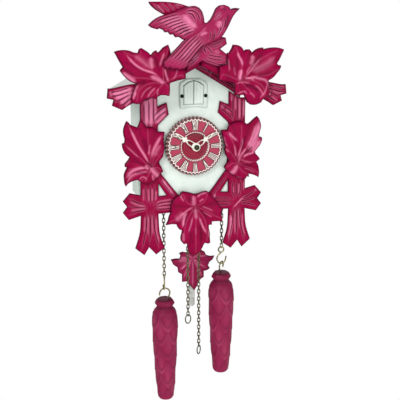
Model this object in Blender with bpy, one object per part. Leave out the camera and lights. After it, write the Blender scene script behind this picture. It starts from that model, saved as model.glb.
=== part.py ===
"""Wall cuckoo clock: painted case, carved leaves and bird, battery movement.

Frame: the wall is the plane Y = 0 and the clock faces -Y. X = 0, Z = 0 is the
axis of the hands. Sizes below are millimetres; objects are built in metres.
"""
import math

import bmesh
import bpy
from mathutils import Matrix, Vector

MM = 0.001
GAP = 0.3                      # clearance between neighbouring pieces

# Case
CASE_HALF = 45.0
WALL = 3.0
CASE_BOTTOM = -55.0
CASE_FRONT = -68.0
FRONT_BACK = -63.3             # rear face of the front panel
BOTTOM_THICK = 3.7
PITCH = 0.558                  # roof fall per unit of width
ROOF_TOP = 84.2
ROOF_UNDER = 77.2
ROOF_HALF = 66.0
ROOF_FRONT = -87.0
SOUND_HOLE = (-40.0, -41.0, 10.5)     # y, z, radius

# Carving layers, back to front
FRAME_Y = (CASE_FRONT - GAP, -71.5)
LEAF_Y = (-71.8, -76.5)
TWIG_Y = (ROOF_FRONT - GAP, -94.0)
TOP_Y = (-94.3, -99.6)
FAR_WING_Y = (-97.5, -102.5)
BIRD_Y = (-99.9, -105.2)
WING_FRONT = -107.8
BIRD_SHIFT = -1.7              # the bird sits this far from its drawn place, along X

# Dial and hands
DIAL_RADIUS = 26.5
RING_OUTER = 25.0
RING_INNER = 13.3
DIAL_Y = (CASE_FRONT - GAP, -73.0)
RING_Y = (-73.3, -75.1)
MINUTE_LENGTH = 24.4
HOUR_LENGTH = 21.8
MINUTE_ANGLE = 305.0           # clockwise from twelve, ten minutes to two
HOUR_ANGLE = 55.4
TUBE_OUTER = 2.2
TUBE_INNER = 1.3
ARBOR = 1.0

# Movement
MOVE_HALF = 29.0
MOVE_Y = (-62.7, -42.3)
MOVE_Z = (-37.0, 37.0)
KNOB = (-14.0, -14.0)          # x, z
CELL_Z = (12.2, 27.8)
CELL_RADIUS = 7.0

# Cuckoo and doors
DOOR_HINGE_X = 9.2
DOOR_Y = (-69.0, -70.5)
DOOR_Z = (38.2, 54.5, 58.8)    # foot, shoulder, crown
DOOR_SPLIT = 0.25              # half the gap where the doors meet
SLIDE = 26.0

# Pendulum
PEND_X = 6.5
PEND_Y = -38.0
PEND_PIVOT_Z = -28.0

# Chains and weights
CHAIN_Y = -58.0
CHAIN_BAR_Z = -46.0
CHAIN_RADIUS = 1.7
LEFT_WEIGHT_X = -26.6
LEFT_PULL_X = -3.0
RIGHT_PULL_X = 8.0
RIGHT_WEIGHT_X = 31.2
WEIGHT_TOP_LEFT = -151.0
WEIGHT_TOP_RIGHT = -129.5
WEIGHT_HEIGHT = 107.0
EYE_RISE = 10.1                # top of the weight's wire eye above the weight
WIRE = 0.6

WHITE = (0.72, 0.76, 0.71)
CERISE = (0.33, 0.012, 0.075)
BRASS = (0.24, 0.2, 0.1)
IVORY = (0.82, 0.86, 0.8)
ROOF_GREY = (0.62, 0.64, 0.6)
STEEL = (0.45, 0.45, 0.43)
BLACK = (0.02, 0.02, 0.022)


def clear_scene():
    """Remove whatever the start-up scene holds."""
    for obj in list(bpy.data.objects):
        bpy.data.objects.remove(obj, do_unlink=True)


def make_material(name, color, roughness, metallic=0.0):
    """Plain Principled material, one for each sub-part."""
    mat = bpy.data.materials.new(name)
    mat.use_nodes = True
    shader = mat.node_tree.nodes["Principled BSDF"]
    shader.inputs["Base Color"].default_value = (*color, 1.0)
    shader.inputs["Roughness"].default_value = roughness
    shader.inputs["Metallic"].default_value = metallic
    mat.diffuse_color = (*color, 1.0)
    return mat


def finish(bm, name, color, roughness=0.5, metallic=0.0, origin=(0, 0, 0), smooth=False):
    """Turn millimetre bmesh geometry into an object whose origin is given in mm."""
    bmesh.ops.recalc_face_normals(bm, faces=bm.faces)
    shift = Matrix.Translation(-Vector(origin))
    bmesh.ops.transform(bm, matrix=Matrix.Scale(MM, 4) @ shift, verts=bm.verts)
    mesh = bpy.data.meshes.new(name)
    bm.to_mesh(mesh)
    bm.free()
    for polygon in mesh.polygons:
        polygon.use_smooth = smooth
    obj = bpy.data.objects.new(name, mesh)
    obj.location = Vector(origin) * MM
    bpy.context.scene.collection.objects.link(obj)
    if color is not None:
        mesh.materials.append(make_material(name, color, roughness, metallic))
    return obj


def mirrored(points):
    """Reflect an (x, z) outline in the clock's middle plane."""
    return [(-x, z) for x, z in reversed(points)]


def shifted(points, distance):
    """Move an (x, z) outline along X."""
    return [(x + distance, z) for x, z in points]


def plate_mesh(points, y_span, taper=1.0, centre=(0.0, 0.0)):
    """Extrude an (x, z) outline along Y, shrinking its front edge about a centre."""
    bm = bmesh.new()
    y_back, y_front = y_span
    shoulder = y_back + (y_front - y_back) * 0.55
    rings = []
    for y, scale in ((y_back, 1.0), (shoulder, 1.0), (y_front, taper)):
        ring = []
        for x, z in points:
            ring.append(bm.verts.new((centre[0] + (x - centre[0]) * scale, y,
                                      centre[1] + (z - centre[1]) * scale)))
        rings.append(ring)
    if taper == 1.0:
        bmesh.ops.delete(bm, geom=rings.pop(1), context="VERTS")
    for low, high in zip(rings, rings[1:]):
        for i in range(len(points)):
            j = (i + 1) % len(points)
            bm.faces.new((low[i], low[j], high[j], high[i]))
    bm.faces.new(rings[0])
    bm.faces.new(list(reversed(rings[-1])))
    return bm


def plate(name, points, y_span, color, roughness=0.5, taper=1.0, centre=(0.0, 0.0),
          metallic=0.0, origin=(0, 0, 0)):
    """Flat or chamfered board standing parallel to the wall."""
    bm = plate_mesh(points, y_span, taper, centre)
    return finish(bm, name, color, roughness, metallic, origin)


def block_mesh(low, high):
    """Closed box between two corners."""
    bm = bmesh.new()
    bmesh.ops.create_cube(bm, size=1.0)
    size = Vector(high) - Vector(low)
    middle = (Vector(high) + Vector(low)) / 2
    place = Matrix.Translation(middle) @ Matrix.Diagonal((*size, 1.0))
    bmesh.ops.transform(bm, matrix=place, verts=bm.verts)
    return bm


def block(name, low, high, color, roughness=0.5, metallic=0.0, origin=(0, 0, 0)):
    """Box-shaped piece."""
    return finish(block_mesh(low, high), name, color, roughness, metallic, origin)


def turned_mesh(profile, base, axis="Z", steps=24):
    """Solid of revolution. Profile is (radius, height); zero radius closes an end."""
    bm = bmesh.new()
    rings = []
    for radius, height in profile:
        if radius == 0.0:
            rings.append([bm.verts.new((0, 0, height))])
            continue
        ring = []
        for i in range(steps):
            angle = math.tau * i / steps
            ring.append(bm.verts.new((radius * math.cos(angle), radius * math.sin(angle), height)))
        rings.append(ring)
    for low, high in zip(rings, rings[1:]):
        for i in range(steps):
            j = (i + 1) % steps
            if len(low) == 1:
                bm.faces.new((low[0], high[i], high[j]))
            elif len(high) == 1:
                bm.faces.new((low[i], low[j], high[0]))
            else:
                bm.faces.new((low[i], low[j], high[j], high[i]))
    if len(rings[0]) > 1:
        bm.faces.new(list(reversed(rings[0])))
    if len(rings[-1]) > 1:
        bm.faces.new(rings[-1])
    turn = Matrix.Identity(4)
    if axis == "Y":
        turn = Matrix.Rotation(math.radians(-90), 4, "X")
    if axis == "X":
        turn = Matrix.Rotation(math.radians(90), 4, "Y")
    bmesh.ops.transform(bm, matrix=Matrix.Translation(base) @ turn, verts=bm.verts)
    return bm


def turned(name, profile, base, color, roughness=0.5, metallic=0.0, axis="Z", steps=24,
           origin=(0, 0, 0)):
    """Lathe-turned piece, smooth shaded."""
    bm = turned_mesh(profile, base, axis, steps)
    return finish(bm, name, color, roughness, metallic, origin, smooth=True)


def wire_mesh(path, radius, sides=8, closed=False):
    """Round wire swept along a list of points."""
    bm = bmesh.new()
    points = [Vector(p) for p in path]
    count = len(points)
    rings = []
    side = None
    for i, point in enumerate(points):
        before = points[i - 1] if (i > 0 or closed) else point
        after = points[(i + 1) % count] if (i < count - 1 or closed) else point
        along = (after - before).normalized()
        if side is None:
            side = along.orthogonal().normalized()
        side = (side - along * side.dot(along)).normalized()
        up = along.cross(side)
        ring = []
        for k in range(sides):
            angle = math.tau * k / sides
            ring.append(bm.verts.new(point + side * radius * math.cos(angle)
                                     + up * radius * math.sin(angle)))
        rings.append(ring)
    pairs = list(zip(rings, rings[1:]))
    if closed:
        pairs.append((rings[-1], rings[0]))
    for low, high in pairs:
        for i in range(sides):
            j = (i + 1) % sides
            bm.faces.new((low[i], low[j], high[j], high[i]))
    if not closed:
        bm.faces.new(list(reversed(rings[0])))
        bm.faces.new(rings[-1])
    return bm


def wire(name, path, radius, color, origin=(0, 0, 0), closed=False, metallic=0.9):
    """Bent wire fitting."""
    bm = wire_mesh(path, radius, closed=closed)
    return finish(bm, name, color, 0.4, metallic, origin, smooth=True)


def cut(obj, cutter_mesh, operation="DIFFERENCE"):
    """Subtract (or join on) a closed solid with an EXACT Boolean."""
    number = len(obj.modifiers) + 1
    cutter = finish(cutter_mesh, f"{obj.name}_cutter_{number}", None)
    cutter.hide_render = True
    cutter.display_type = "WIRE"
    modifier = obj.modifiers.new(f"cut_{number}", "BOOLEAN")
    modifier.operation = operation
    modifier.solver = "EXACT"
    modifier.object = cutter


def apply_cuts():
    """Apply every Boolean, then drop the cutters so that only real parts are left."""
    bpy.context.view_layer.update()
    graph = bpy.context.evaluated_depsgraph_get()
    for obj in [o for o in bpy.data.objects if o.modifiers]:
        mesh = bpy.data.meshes.new_from_object(obj.evaluated_get(graph))
        obj.modifiers.clear()
        obj.data = mesh
    for obj in [o for o in bpy.data.objects if o.display_type == "WIRE"]:
        bpy.data.objects.remove(obj, do_unlink=True)


def arc(centre, radius, start, end, steps):
    """Points on a circle in (x, z), angles in degrees from +X towards +Z."""
    points = []
    for i in range(steps + 1):
        angle = math.radians(start + (end - start) * i / steps)
        points.append((centre[0] + radius * math.cos(angle), centre[1] + radius * math.sin(angle)))
    return points


def roof_under(x):
    """Height of the roof's underside."""
    return ROOF_UNDER - PITCH * abs(x)


# Case ---------------------------------------------------------------------

def build_case():
    """Painted box: front, back, sides and floor."""
    peak = roof_under(0) - GAP
    eave = roof_under(CASE_HALF) - GAP
    gable = [(-CASE_HALF, CASE_BOTTOM), (CASE_HALF, CASE_BOTTOM), (CASE_HALF, eave),
             (0, peak), (-CASE_HALF, eave)]
    front = plate("front_panel", gable, (FRONT_BACK, CASE_FRONT), WHITE, 0.45)
    cut(front, turned_mesh([(2.8, -80), (2.8, -50)], (0, 0, 0), "Y"))
    cut(front, plate_mesh(door_opening(9.3, -0.2, 1.0), (-60, -80)))

    inner = CASE_HALF - WALL
    side_low = CASE_BOTTOM
    for name, sign in (("side_left", -1), ("side_right", 1)):
        points = [(sign * inner, side_low), (sign * CASE_HALF, side_low),
                  (sign * CASE_HALF, eave), (sign * inner, roof_under(inner) - GAP)]
        side = plate(name, points, (0, FRONT_BACK + GAP), WHITE, 0.45)
        if sign < 0:
            y, z, radius = SOUND_HOLE
            cut(side, turned_mesh([(radius, -10), (radius, 10)], (-CASE_HALF, y, z), "X", 32))
        else:
            cut(side, block_mesh((40, -35, -42), (50, -23, -38)))

    board = inner - GAP
    back_points = [(-board, CASE_BOTTOM + GAP), (board, CASE_BOTTOM + GAP),
                   (board, roof_under(board) - GAP), (0, peak),
                   (-board, roof_under(board) - GAP)]
    back = plate("back_panel", back_points, (0, -4.0), WHITE, 0.6)
    cut(back, block_mesh((-30, -6, 3), (30, 6, 37)))
    cut(back, turned_mesh([(7.0, -6), (7.0, 6)], (KNOB[0], 0, KNOB[1]), "Y"))
    cut(back, block_mesh((-12.3, -1.7, 50.7), (12.3, 4, 67.3)))
    cut(back, block_mesh((-5.0, -10, 53), (5.0, 4, 65.5)))

    floor = block("floor_board", (-board, FRONT_BACK + GAP, CASE_BOTTOM),
                  (board, -4.3, CASE_BOTTOM + BOTTOM_THICK), WHITE, 0.5)
    for x in (LEFT_WEIGHT_X, LEFT_PULL_X, RIGHT_PULL_X, RIGHT_WEIGHT_X):
        cut(floor, turned_mesh([(3.3, -60), (3.3, -48)], (x, CHAIN_Y, 0)))
    cut(floor, block_mesh((PEND_X - 10, -43, -60), (PEND_X + 10, -34.5, -48)))


def door_opening(half, foot_drop, crown_rise):
    """Arched outline of the cuckoo's doorway, widened by small allowances."""
    foot, shoulder, crown = DOOR_Z
    return [(-half, foot + foot_drop), (half, foot + foot_drop), (half, shoulder + crown_rise),
            (half * 0.5, crown + crown_rise - 1.2), (0, crown + crown_rise),
            (-half * 0.5, crown + crown_rise - 1.2), (-half, shoulder + crown_rise)]


def build_roof():
    """Two boards that meet in a vertical mitre at the ridge."""
    half = ROOF_HALF
    eave_top = ROOF_TOP - PITCH * half
    points = [(GAP / 2, ROOF_UNDER), (GAP / 2, ROOF_TOP), (half, eave_top),
              (half - 3.0, roof_under(half - 3.0))]
    plate("roof_right", points, (-GAP, ROOF_FRONT), ROOF_GREY, 0.5)
    plate("roof_left", mirrored(points), (-GAP, ROOF_FRONT), ROOF_GREY, 0.5)

    trim = [(0.2, 70.6), (0.2, 76.6), (44.5, 51.9), (44.5, 43.0), (34.2, 50.2)]
    plate("gable_trim_right", trim, FRAME_Y, CERISE, 0.35)
    plate("gable_trim_left", mirrored(trim), FRAME_Y, CERISE, 0.35)


def build_hanger():
    """Steel plate with a keyhole, let into the back panel."""
    outline = [(-12, 51), (12, 51), (12, 67), (-12, 67)]
    hanger = plate("hanger_plate", outline, (-0.1, -1.3), STEEL, 0.35, metallic=0.9)
    keyhole = arc((0, 57), 4.2, -250, 70, 16) + arc((0, 63), 2.0, 0, 180, 6)
    cut(hanger, plate_mesh(keyhole, (2, -4)))


# Carving ------------------------------------------------------------------

def build_side_frames():
    """Post, crossed branches and diagonal twig, one board for each side."""
    points = [(33.5, -4), (33.5, 18), (33, 20.5), (23.2, 29.6), (25, 40.2), (33.5, 36.8),
              (33.5, 49.0), (44.0, 42.8), (49.6, 42.8), (49.6, 20), (50.3, -29),
              (50.4, -43.5), (60.5, -41), (67, -48.3), (63.2, -53.8), (67.2, -59.1),
              (62, -66), (50.5, -62.9), (51.8, -79), (56.4, -94), (48, -101.2),
              (43.4, -93.9), (36.8, -101.5), (28.7, -95.7), (33, -81), (34.1, -62.2),
              (12.4, -61.6), (12.4, -46.0), (16, -44.0), (31.0, -24.5)]
    frame = plate("side_frame_right", points, FRAME_Y, CERISE, 0.35)
    cut(frame, plate_mesh([(33.6, -33.5), (33.6, -45.6), (26.2, -45.2)], (-60, -80)))
    frame = plate("side_frame_left", mirrored(points), FRAME_Y, CERISE, 0.35)
    cut(frame, plate_mesh(mirrored([(33.6, -33.5), (33.6, -45.6), (26.2, -45.2)]), (-60, -80)))


def build_leaves():
    """Five carved leaves."""
    middle = [(52.2, 19.4), (61.4, 25), (64.9, 16.6), (64.2, 6.5), (66.7, 4.8), (64.5, -1.5),
              (59.7, -8.2), (64.4, -15), (61.8, -18), (64.3, -24.5), (64.4, -33), (57, -29),
              (52.5, -29.5), (49, -33.5), (42, -35.8), (34, -32.5), (28.8, -21.7), (34.2, -14.3),
              (28.2, -4), (28.7, 3), (26.8, 13.7), (33.2, 15.2), (44, 20.5)]
    plate("leaf_middle_right", middle, LEAF_Y, CERISE, 0.35, 0.93, (46, -8))
    plate("leaf_middle_left", mirrored(middle), LEAF_Y, CERISE, 0.35, 0.93, (-46, -8))

    top = [(14.5, 60), (15.5, 72.5), (22.5, 74.5), (25.5, 83.5), (29.5, 90.7), (35.7, 88),
           (39.8, 84.3), (42, 87), (45.5, 83.3), (50, 86.2), (54.5, 88.3), (62, 87.8),
           (75.3, 86.8), (73.5, 81.8), (69.3, 74.2), (72, 71.2), (65.2, 62.5), (59.5, 59.6),
           (60.5, 50), (61, 44), (55, 42), (49.5, 44.5), (46.5, 43.5), (38, 48.8),
           (29.2, 48.2), (28.6, 58)]
    plate("leaf_top_right", top, TOP_Y, CERISE, 0.35, 0.94, (42, 65))
    plate("leaf_top_left", mirrored(top), TOP_Y, CERISE, 0.35, 0.94, (-42, 65))

    bottom = [(-1.2, -44), (3.5, -42.4), (11.5, -42.2), (14.5, -44.8), (26.5, -61.9),
              (27.4, -72), (17.3, -71.5), (15.4, -76), (13.7, -77), (14.1, -86.5),
              (12.5, -92), (9.4, -91), (6.5, -97), (0, -103.2), (-6.5, -97), (-9.4, -91),
              (-12.5, -92), (-14.1, -86.5), (-13.7, -77), (-15.4, -76), (-17.3, -71.5),
              (-27.4, -72), (-28, -61.5), (-16.5, -44.8), (-12.5, -41.6), (-7, -42.6)]
    plate("leaf_bottom", bottom, LEAF_Y, CERISE, 0.35, 0.94, (0, -68))


def build_roof_twigs():
    """Branches that follow the verge and end beyond the top leaves."""
    points = [(0.3, 73.2), (0.3, 84.0), (14, 78), (30, 69), (46, 60.5), (62, 58.5), (76, 55.8),
              (80.5, 55.6), (81.5, 47.3), (75.8, 45.9), (77.3, 41), (69, 37.2), (61, 42.0),
              (46, 48.2), (30, 57), (14, 66)]
    plate("roof_twig_right", points, TWIG_Y, CERISE, 0.35, 0.97, (42, 60))
    plate("roof_twig_left", mirrored(points), TWIG_Y, CERISE, 0.35, 0.97, (-42, 60))
    perch = [(-13.8, 69.0), (0, 77.6), (13.8, 72.8), (22.0, 75.2), (22.3, 83), (16.2, 87.6),
             (22.2, 91.7), (21, 97.1), (17, 97.6), (4, 90), (-8, 79), (-13.9, 73.5)]
    plate("perch", perch, TOP_Y, CERISE, 0.35)


def build_bird():
    """Bird with spread wings above the ridge."""
    body = [(5.5, 109.8), (7.9, 111.7), (11.3, 118.6), (14.6, 123.3), (18.7, 124.9),
            (22.1, 124.3), (25.5, 121.5), (29, 122.1), (34.1, 121.5), (30.4, 118.7),
            (27, 114.9), (24.3, 109.8), (21.6, 102.8), (18.2, 97.8), (9, 92.5), (2, 87.5),
            (-2.9, 83), (-9, 76.5), (-15.8, 73.2), (-24, 71.2), (-32.5, 71.6), (-33.8, 74.8),
            (-28.4, 81.7), (-22.3, 87.9), (-17.2, 95.3), (-9, 104.3), (0, 109.2)]
    plate("bird_body", shifted(body, BIRD_SHIFT), BIRD_Y, CERISE, 0.35, 0.95, (4, 101))
    near = [(5.3, 110.1), (3.8, 112.6), (2.8, 116.7), (1.1, 121), (-2.9, 123.1), (-7, 123.5),
            (-12.5, 121.9), (-21.5, 119.0), (-32.4, 115.4), (-39, 112.5), (-45, 107.3),
            (-41.2, 104.2), (-33.1, 103.3), (-25.5, 100.5), (-17.2, 95.9), (-9.3, 104.6),
            (-0.2, 109.5)]
    near = shifted(near, BIRD_SHIFT)
    plate("bird_wing_near", near, (BIRD_Y[0], WING_FRONT), CERISE, 0.35, 0.95, (-10, 110))
    far = [(-44.7, 125.6), (-31.8, 126.2), (-20.5, 125.4), (-12.3, 123.0), (-12.8, 122.3),
           (-21.7, 119.4), (-32.6, 115.8), (-36.5, 118.2)]
    plate("bird_wing_far", shifted(far, BIRD_SHIFT), FAR_WING_Y, CERISE, 0.35)


# Dial and hands -----------------------------------------------------------

def build_dial():
    """Scalloped wooden dial with a raised ring for the numerals."""
    outline = []
    lobes = 36
    for i in range(lobes * 4):
        angle = math.tau * i / (lobes * 4)
        radius = DIAL_RADIUS - 0.5 + 0.5 * math.cos(lobes * angle)
        outline.append((radius * math.cos(angle), radius * math.sin(angle)))
    dial = plate("dial_plate", outline, DIAL_Y, CERISE, 0.4)
    cut(dial, turned_mesh([(2.7, -80), (2.7, -50)], (0, 0, 0), "Y"))
    thick = RING_Y[0] - RING_Y[1]
    disc = turned_mesh([(RING_OUTER, 0), (RING_OUTER, thick)], (0, RING_Y[1], 0), "Y", 72)
    ring = finish(disc, "dial_ring", (0.55, 0.12, 0.2), 0.4)
    cut(ring, turned_mesh([(RING_INNER, -80), (RING_INNER, -60)], (0, 0, 0), "Y", 60))


def hand_outline(length, boss):
    """Pierced-hand silhouette pointing to twelve: boss, waist, diamond and tip."""
    base = arc((0, 0), boss, 130, 410, 18)
    right = [(boss * 0.75, boss + 1.2), (2.5, length * 0.42), (4.0, length * 0.52),
             (2.2, length * 0.66), (1.7, length * 0.9), (0, length)]
    left = [(-x, z) for x, z in reversed(right[:-1])]
    return base + right + left


def turn_outline(points, clock_degrees):
    """Rotate an (x, z) outline clockwise as seen from the front."""
    angle = math.radians(clock_degrees)
    return [(x * math.cos(angle) + z * math.sin(angle),
             -x * math.sin(angle) + z * math.cos(angle)) for x, z in points]


def build_hands():
    """Hour hand on its pipe, minute hand on its arbor, and the nut in front."""
    outline = turn_outline(hand_outline(HOUR_LENGTH, 4.0), HOUR_ANGLE)
    hand = plate("hour_hand", outline, (-76.0, -77.2), IVORY, 0.4)
    cut(hand, turned_mesh([(TUBE_OUTER, 0), (TUBE_OUTER, 20.8)], (0, -77.5, 0), "Y"), "UNION")
    cut(hand, turned_mesh([(TUBE_INNER, -90), (TUBE_INNER, -40)], (0, 0, 0), "Y"))

    outline = turn_outline(hand_outline(MINUTE_LENGTH, 4.4), MINUTE_ANGLE)
    hand = plate("minute_hand", outline, (-78.2, -79.4), IVORY, 0.4)
    cut(hand, turned_mesh([(ARBOR, 0), (ARBOR, 25.5)], (0, -81.5, 0), "Y", 16), "UNION")
    nut = turned("hand_nut", [(1.3, 0), (2.0, 0.9), (2.4, 2.2), (2.4, 2.9)], (0, -82.6, 0),
                 BRASS, 0.35, 0.8, "Y", 20)
    cut(nut, turned_mesh([(ARBOR + 0.05, 0.8), (ARBOR + 0.05, 6)], (0, -82.6, 0), "Y"))


# Movement -----------------------------------------------------------------

def build_movement():
    """Plastic movement case with battery tray, cells, knob, speaker and pendulum hook."""
    case = block("movement_case", (-MOVE_HALF, MOVE_Y[0], MOVE_Z[0]),
                 (MOVE_HALF, MOVE_Y[1], MOVE_Z[1]), BLACK, 0.5)
    cut(case, turned_mesh([(2.6, -70), (2.6, -54.5)], (0, 0, 0), "Y"))
    cut(case, turned_mesh([(1.6, -48), (1.6, -40)], (KNOB[0], 0, KNOB[1]), "Y", 16))

    tray = block("battery_tray", (-MOVE_HALF, -42.0, 3.0), (MOVE_HALF, -24.0, 37.0), BLACK, 0.5)
    cut(tray, block_mesh((-27.5, -40.5, 4.5), (27.5, -20, 35.5)))
    for name, z, sign in (("cell_lower", CELL_Z[0], 1), ("cell_upper", CELL_Z[1], -1)):
        profile = [(CELL_RADIUS, 0), (CELL_RADIUS, 48.5), (2.6, 48.5), (2.6, 49.8)]
        bm = turned_mesh(profile, (-24.9 * sign, -33.3, z), "X", 24)
        if sign < 0:
            flip = Matrix.Translation((24.9, 0, 0)) @ Matrix.Scale(-1, 4, (1, 0, 0))
            flip = flip @ Matrix.Translation((-24.9, 0, 0))
            bmesh.ops.transform(bm, matrix=flip, verts=bm.verts)
        finish(bm, name, (0.5, 0.5, 0.52), 0.35, 0.6, smooth=True)

    turned("setting_knob", [(1.2, 0), (1.2, 4.5), (5.6, 4.5), (6.0, 5.2), (6.0, 8.8), (5.6, 9.5)],
           (KNOB[0], -46.0, KNOB[1]), BLACK, 0.5, 0, "Y", 24, (KNOB[0], -38, KNOB[1]))
    turned("speaker", [(5.0, 0), (6.0, 3.0), (9.4, 6.5), (9.4, 8.0)],
           (-33.2 - 8.2, SOUND_HOLE[0], SOUND_HOLE[1]), BLACK, 0.6, 0, "X", 24)

    turned("pendulum_pin", [(2.4, 0), (2.4, 2.2), (0.8, 2.2), (0.8, 6.4)],
           (PEND_X, MOVE_Y[1] + GAP, PEND_PIVOT_Z), BRASS, 0.4, 0.9, "Y", 20)


def build_battery_door():
    """Cover that closes the battery window in the back panel."""
    bm = block_mesh((-29.6, -3.9, 3.4), (29.6, -0.1, 36.6))
    door = finish(bm, "battery_door", BLACK, 0.5, 0, (-29.6, -0.1, 20))
    cut(door, block_mesh((20, -1.2, 14), (26, 3, 26)))


def build_chime_switch():
    """Slider in the right side panel that turns the call on and off."""
    profile = [(41.0, -1.5), (45.4, -1.5), (45.4, -2.6), (47.6, -2.6),
               (47.6, 2.6), (45.4, 2.6), (45.4, 1.5), (41.0, 1.5)]
    bm = bmesh.new()
    low = [bm.verts.new((x, -29 + y, -41.6)) for x, y in profile]
    high = [bm.verts.new((x, -29 + y, -38.4)) for x, y in profile]
    for i in range(len(profile)):
        j = (i + 1) % len(profile)
        bm.faces.new((low[i], low[j], high[j], high[i]))
    bm.faces.new(list(reversed(low)))
    bm.faces.new(high)
    finish(bm, "chime_switch", BLACK, 0.5)


# Cuckoo -------------------------------------------------------------------

def build_cuckoo():
    """Door surround, two doors, and the little bird on its slide."""
    surround = [(-11.5, 33.3), (0, 34.9), (11.5, 33.3), (14.4, 38.5), (14.2, 50), (13.2, 56.8),
                (4.5, 60.8), (0, 61.3), (-4.5, 60.8), (-13.2, 56.8), (-14.2, 50), (-14.4, 38.5)]
    plate_obj = plate("door_surround", surround, (CASE_FRONT - GAP, -70.6), WHITE, 0.45)
    cut(plate_obj, plate_mesh(door_opening(DOOR_HINGE_X + 0.15, -0.2, 0.5), (-60, -80)))

    foot, shoulder, crown = DOOR_Z
    half = DOOR_HINGE_X - 0.1
    leaf = [(DOOR_SPLIT, foot), (half, foot), (half, shoulder), (half * 0.5, crown - 1.2),
            (DOOR_SPLIT, crown)]
    for name, points, sign in (("door_right", leaf, 1), ("door_left", mirrored(leaf), -1)):
        plate(name, points, DOOR_Y, WHITE, 0.45, origin=(sign * DOOR_HINGE_X, DOOR_Y[1], 46))

    block("cuckoo_rail", (-3, -62, 37.3), (3, -6, 38.4), STEEL, 0.4, 0.8)
    turned("cuckoo_motor", [(6, 0), (6, 12), (2.5, 12), (2.5, 13.5)], (0, -20.5, 45.2),
           STEEL, 0.35, 0.8, "Y", 24)
    block("cuckoo_carriage", (-3.5, -56, 38.7), (3.5, -22, 40.2), IVORY, 0.5)
    rings = [(-60.6, 0.25, 50.8), (-58.6, 1.6, 51.0), (-56.5, 3.2, 51.0), (-53.5, 3.5, 50.0),
             (-50.5, 4.2, 46.8), (-46.0, 4.0, 44.8), (-41.0, 2.6, 44.0), (-37.0, 1.6, 43.6)]
    heights = [0.25, 1.6, 3.0, 3.4, 5.2, 3.9, 2.2, 0.9]
    bm = bmesh.new()
    loops = []
    for (y, width, z), tall in zip(rings, heights):
        loop = []
        for k in range(14):
            angle = math.tau * k / 14
            loop.append(bm.verts.new((width * math.cos(angle), y, z + tall * math.sin(angle))))
        loops.append(loop)
    for low, high in zip(loops, loops[1:]):
        for i in range(14):
            j = (i + 1) % 14
            bm.faces.new((low[i], low[j], high[j], high[i]))
    bm.faces.new(loops[0])
    bm.faces.new(list(reversed(loops[-1])))
    finish(bm, "cuckoo_bird", (0.5, 0.05, 0.1), 0.45, smooth=True)


# Pendulum, chains and weights ----------------------------------------------

def build_pendulum():
    """Flat rod with an eye, and the carved leaf in front of it."""
    pivot = (PEND_X, PEND_PIVOT_Z)
    rod = arc(pivot, 2.6, -50, 230, 16)
    rod += [(PEND_X - 1.7, -120), (PEND_X - 3, -128), (PEND_X - 3, -168)]
    rod += arc((PEND_X, -168), 3.0, 180, 360, 8)
    rod += [(PEND_X + 3, -128), (PEND_X + 1.7, -120)]
    origin = (PEND_X, PEND_Y, PEND_PIVOT_Z)
    rod_obj = plate("pendulum_rod", rod, (PEND_Y + 0.5, PEND_Y - 0.5), (0.6, 0.62, 0.6), 0.4,
                    metallic=0.3, origin=origin)
    cut(rod_obj, turned_mesh([(1.15, -50), (1.15, -30)], (PEND_X, 0, PEND_PIVOT_Z), "Y", 20))

    half = [(0, -112.6), (7.5, -111), (10, -113), (22.8, -118.3), (17.5, -124),
            (15.8, -127.5), (15.9, -131), (12, -132), (11.5, -140.8), (7.8, -141.5),
            (5.3, -144)]
    leaf = [(PEND_X + x, z) for x, z in half] + [(PEND_X, -153.2)]
    leaf += [(PEND_X - x, z) for x, z in reversed(half[1:])]
    plate("pendulum_leaf", leaf, (PEND_Y - 0.8, PEND_Y - 4.2), CERISE, 0.35, 0.93,
          (PEND_X, -127), origin=origin)


def chain_run(name, x, low):
    """One chain run from the bar inside the case down to its lower end."""
    path = [(x, CHAIN_Y, CHAIN_BAR_Z - 1.4), (x, CHAIN_Y, low)]
    return wire(name, path, CHAIN_RADIUS, BRASS, (x, CHAIN_Y, CHAIN_BAR_Z))


def weight(name, x, top, turn):
    """Cone-shaped weight and the wire eye bent up from its neck."""
    profile = [(5.4, 0), (8.4, 6), (9.8, 16.5), (11.2, 37), (12.6, 62.5), (13.1, 80), (12.9, 90),
               (11.2, 94.5), (8.2, 98), (7.9, 99.5), (9.7, 102), (9.5, 103.5),
               (7.4, WEIGHT_HEIGHT)]
    origin = (x, CHAIN_Y, CHAIN_BAR_Z)
    turned(name, profile, (x, CHAIN_Y, top - WEIGHT_HEIGHT), CERISE, 0.45, 0, "Z", 28, origin)

    radius = 5.2
    centre_z = top + EYE_RISE - radius
    flat = arc((0, centre_z), radius, 205, 0, 20)
    flat += [(4.9, centre_z - 1.8), (3.2, top + 1.8), (3.0, top + GAP)]
    angle = math.radians(turn)
    path = [(x + u * math.cos(angle), CHAIN_Y + u * math.sin(angle), z) for u, z in flat]
    wire(f"{name}_eye", path, WIRE, BRASS, origin)


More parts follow.
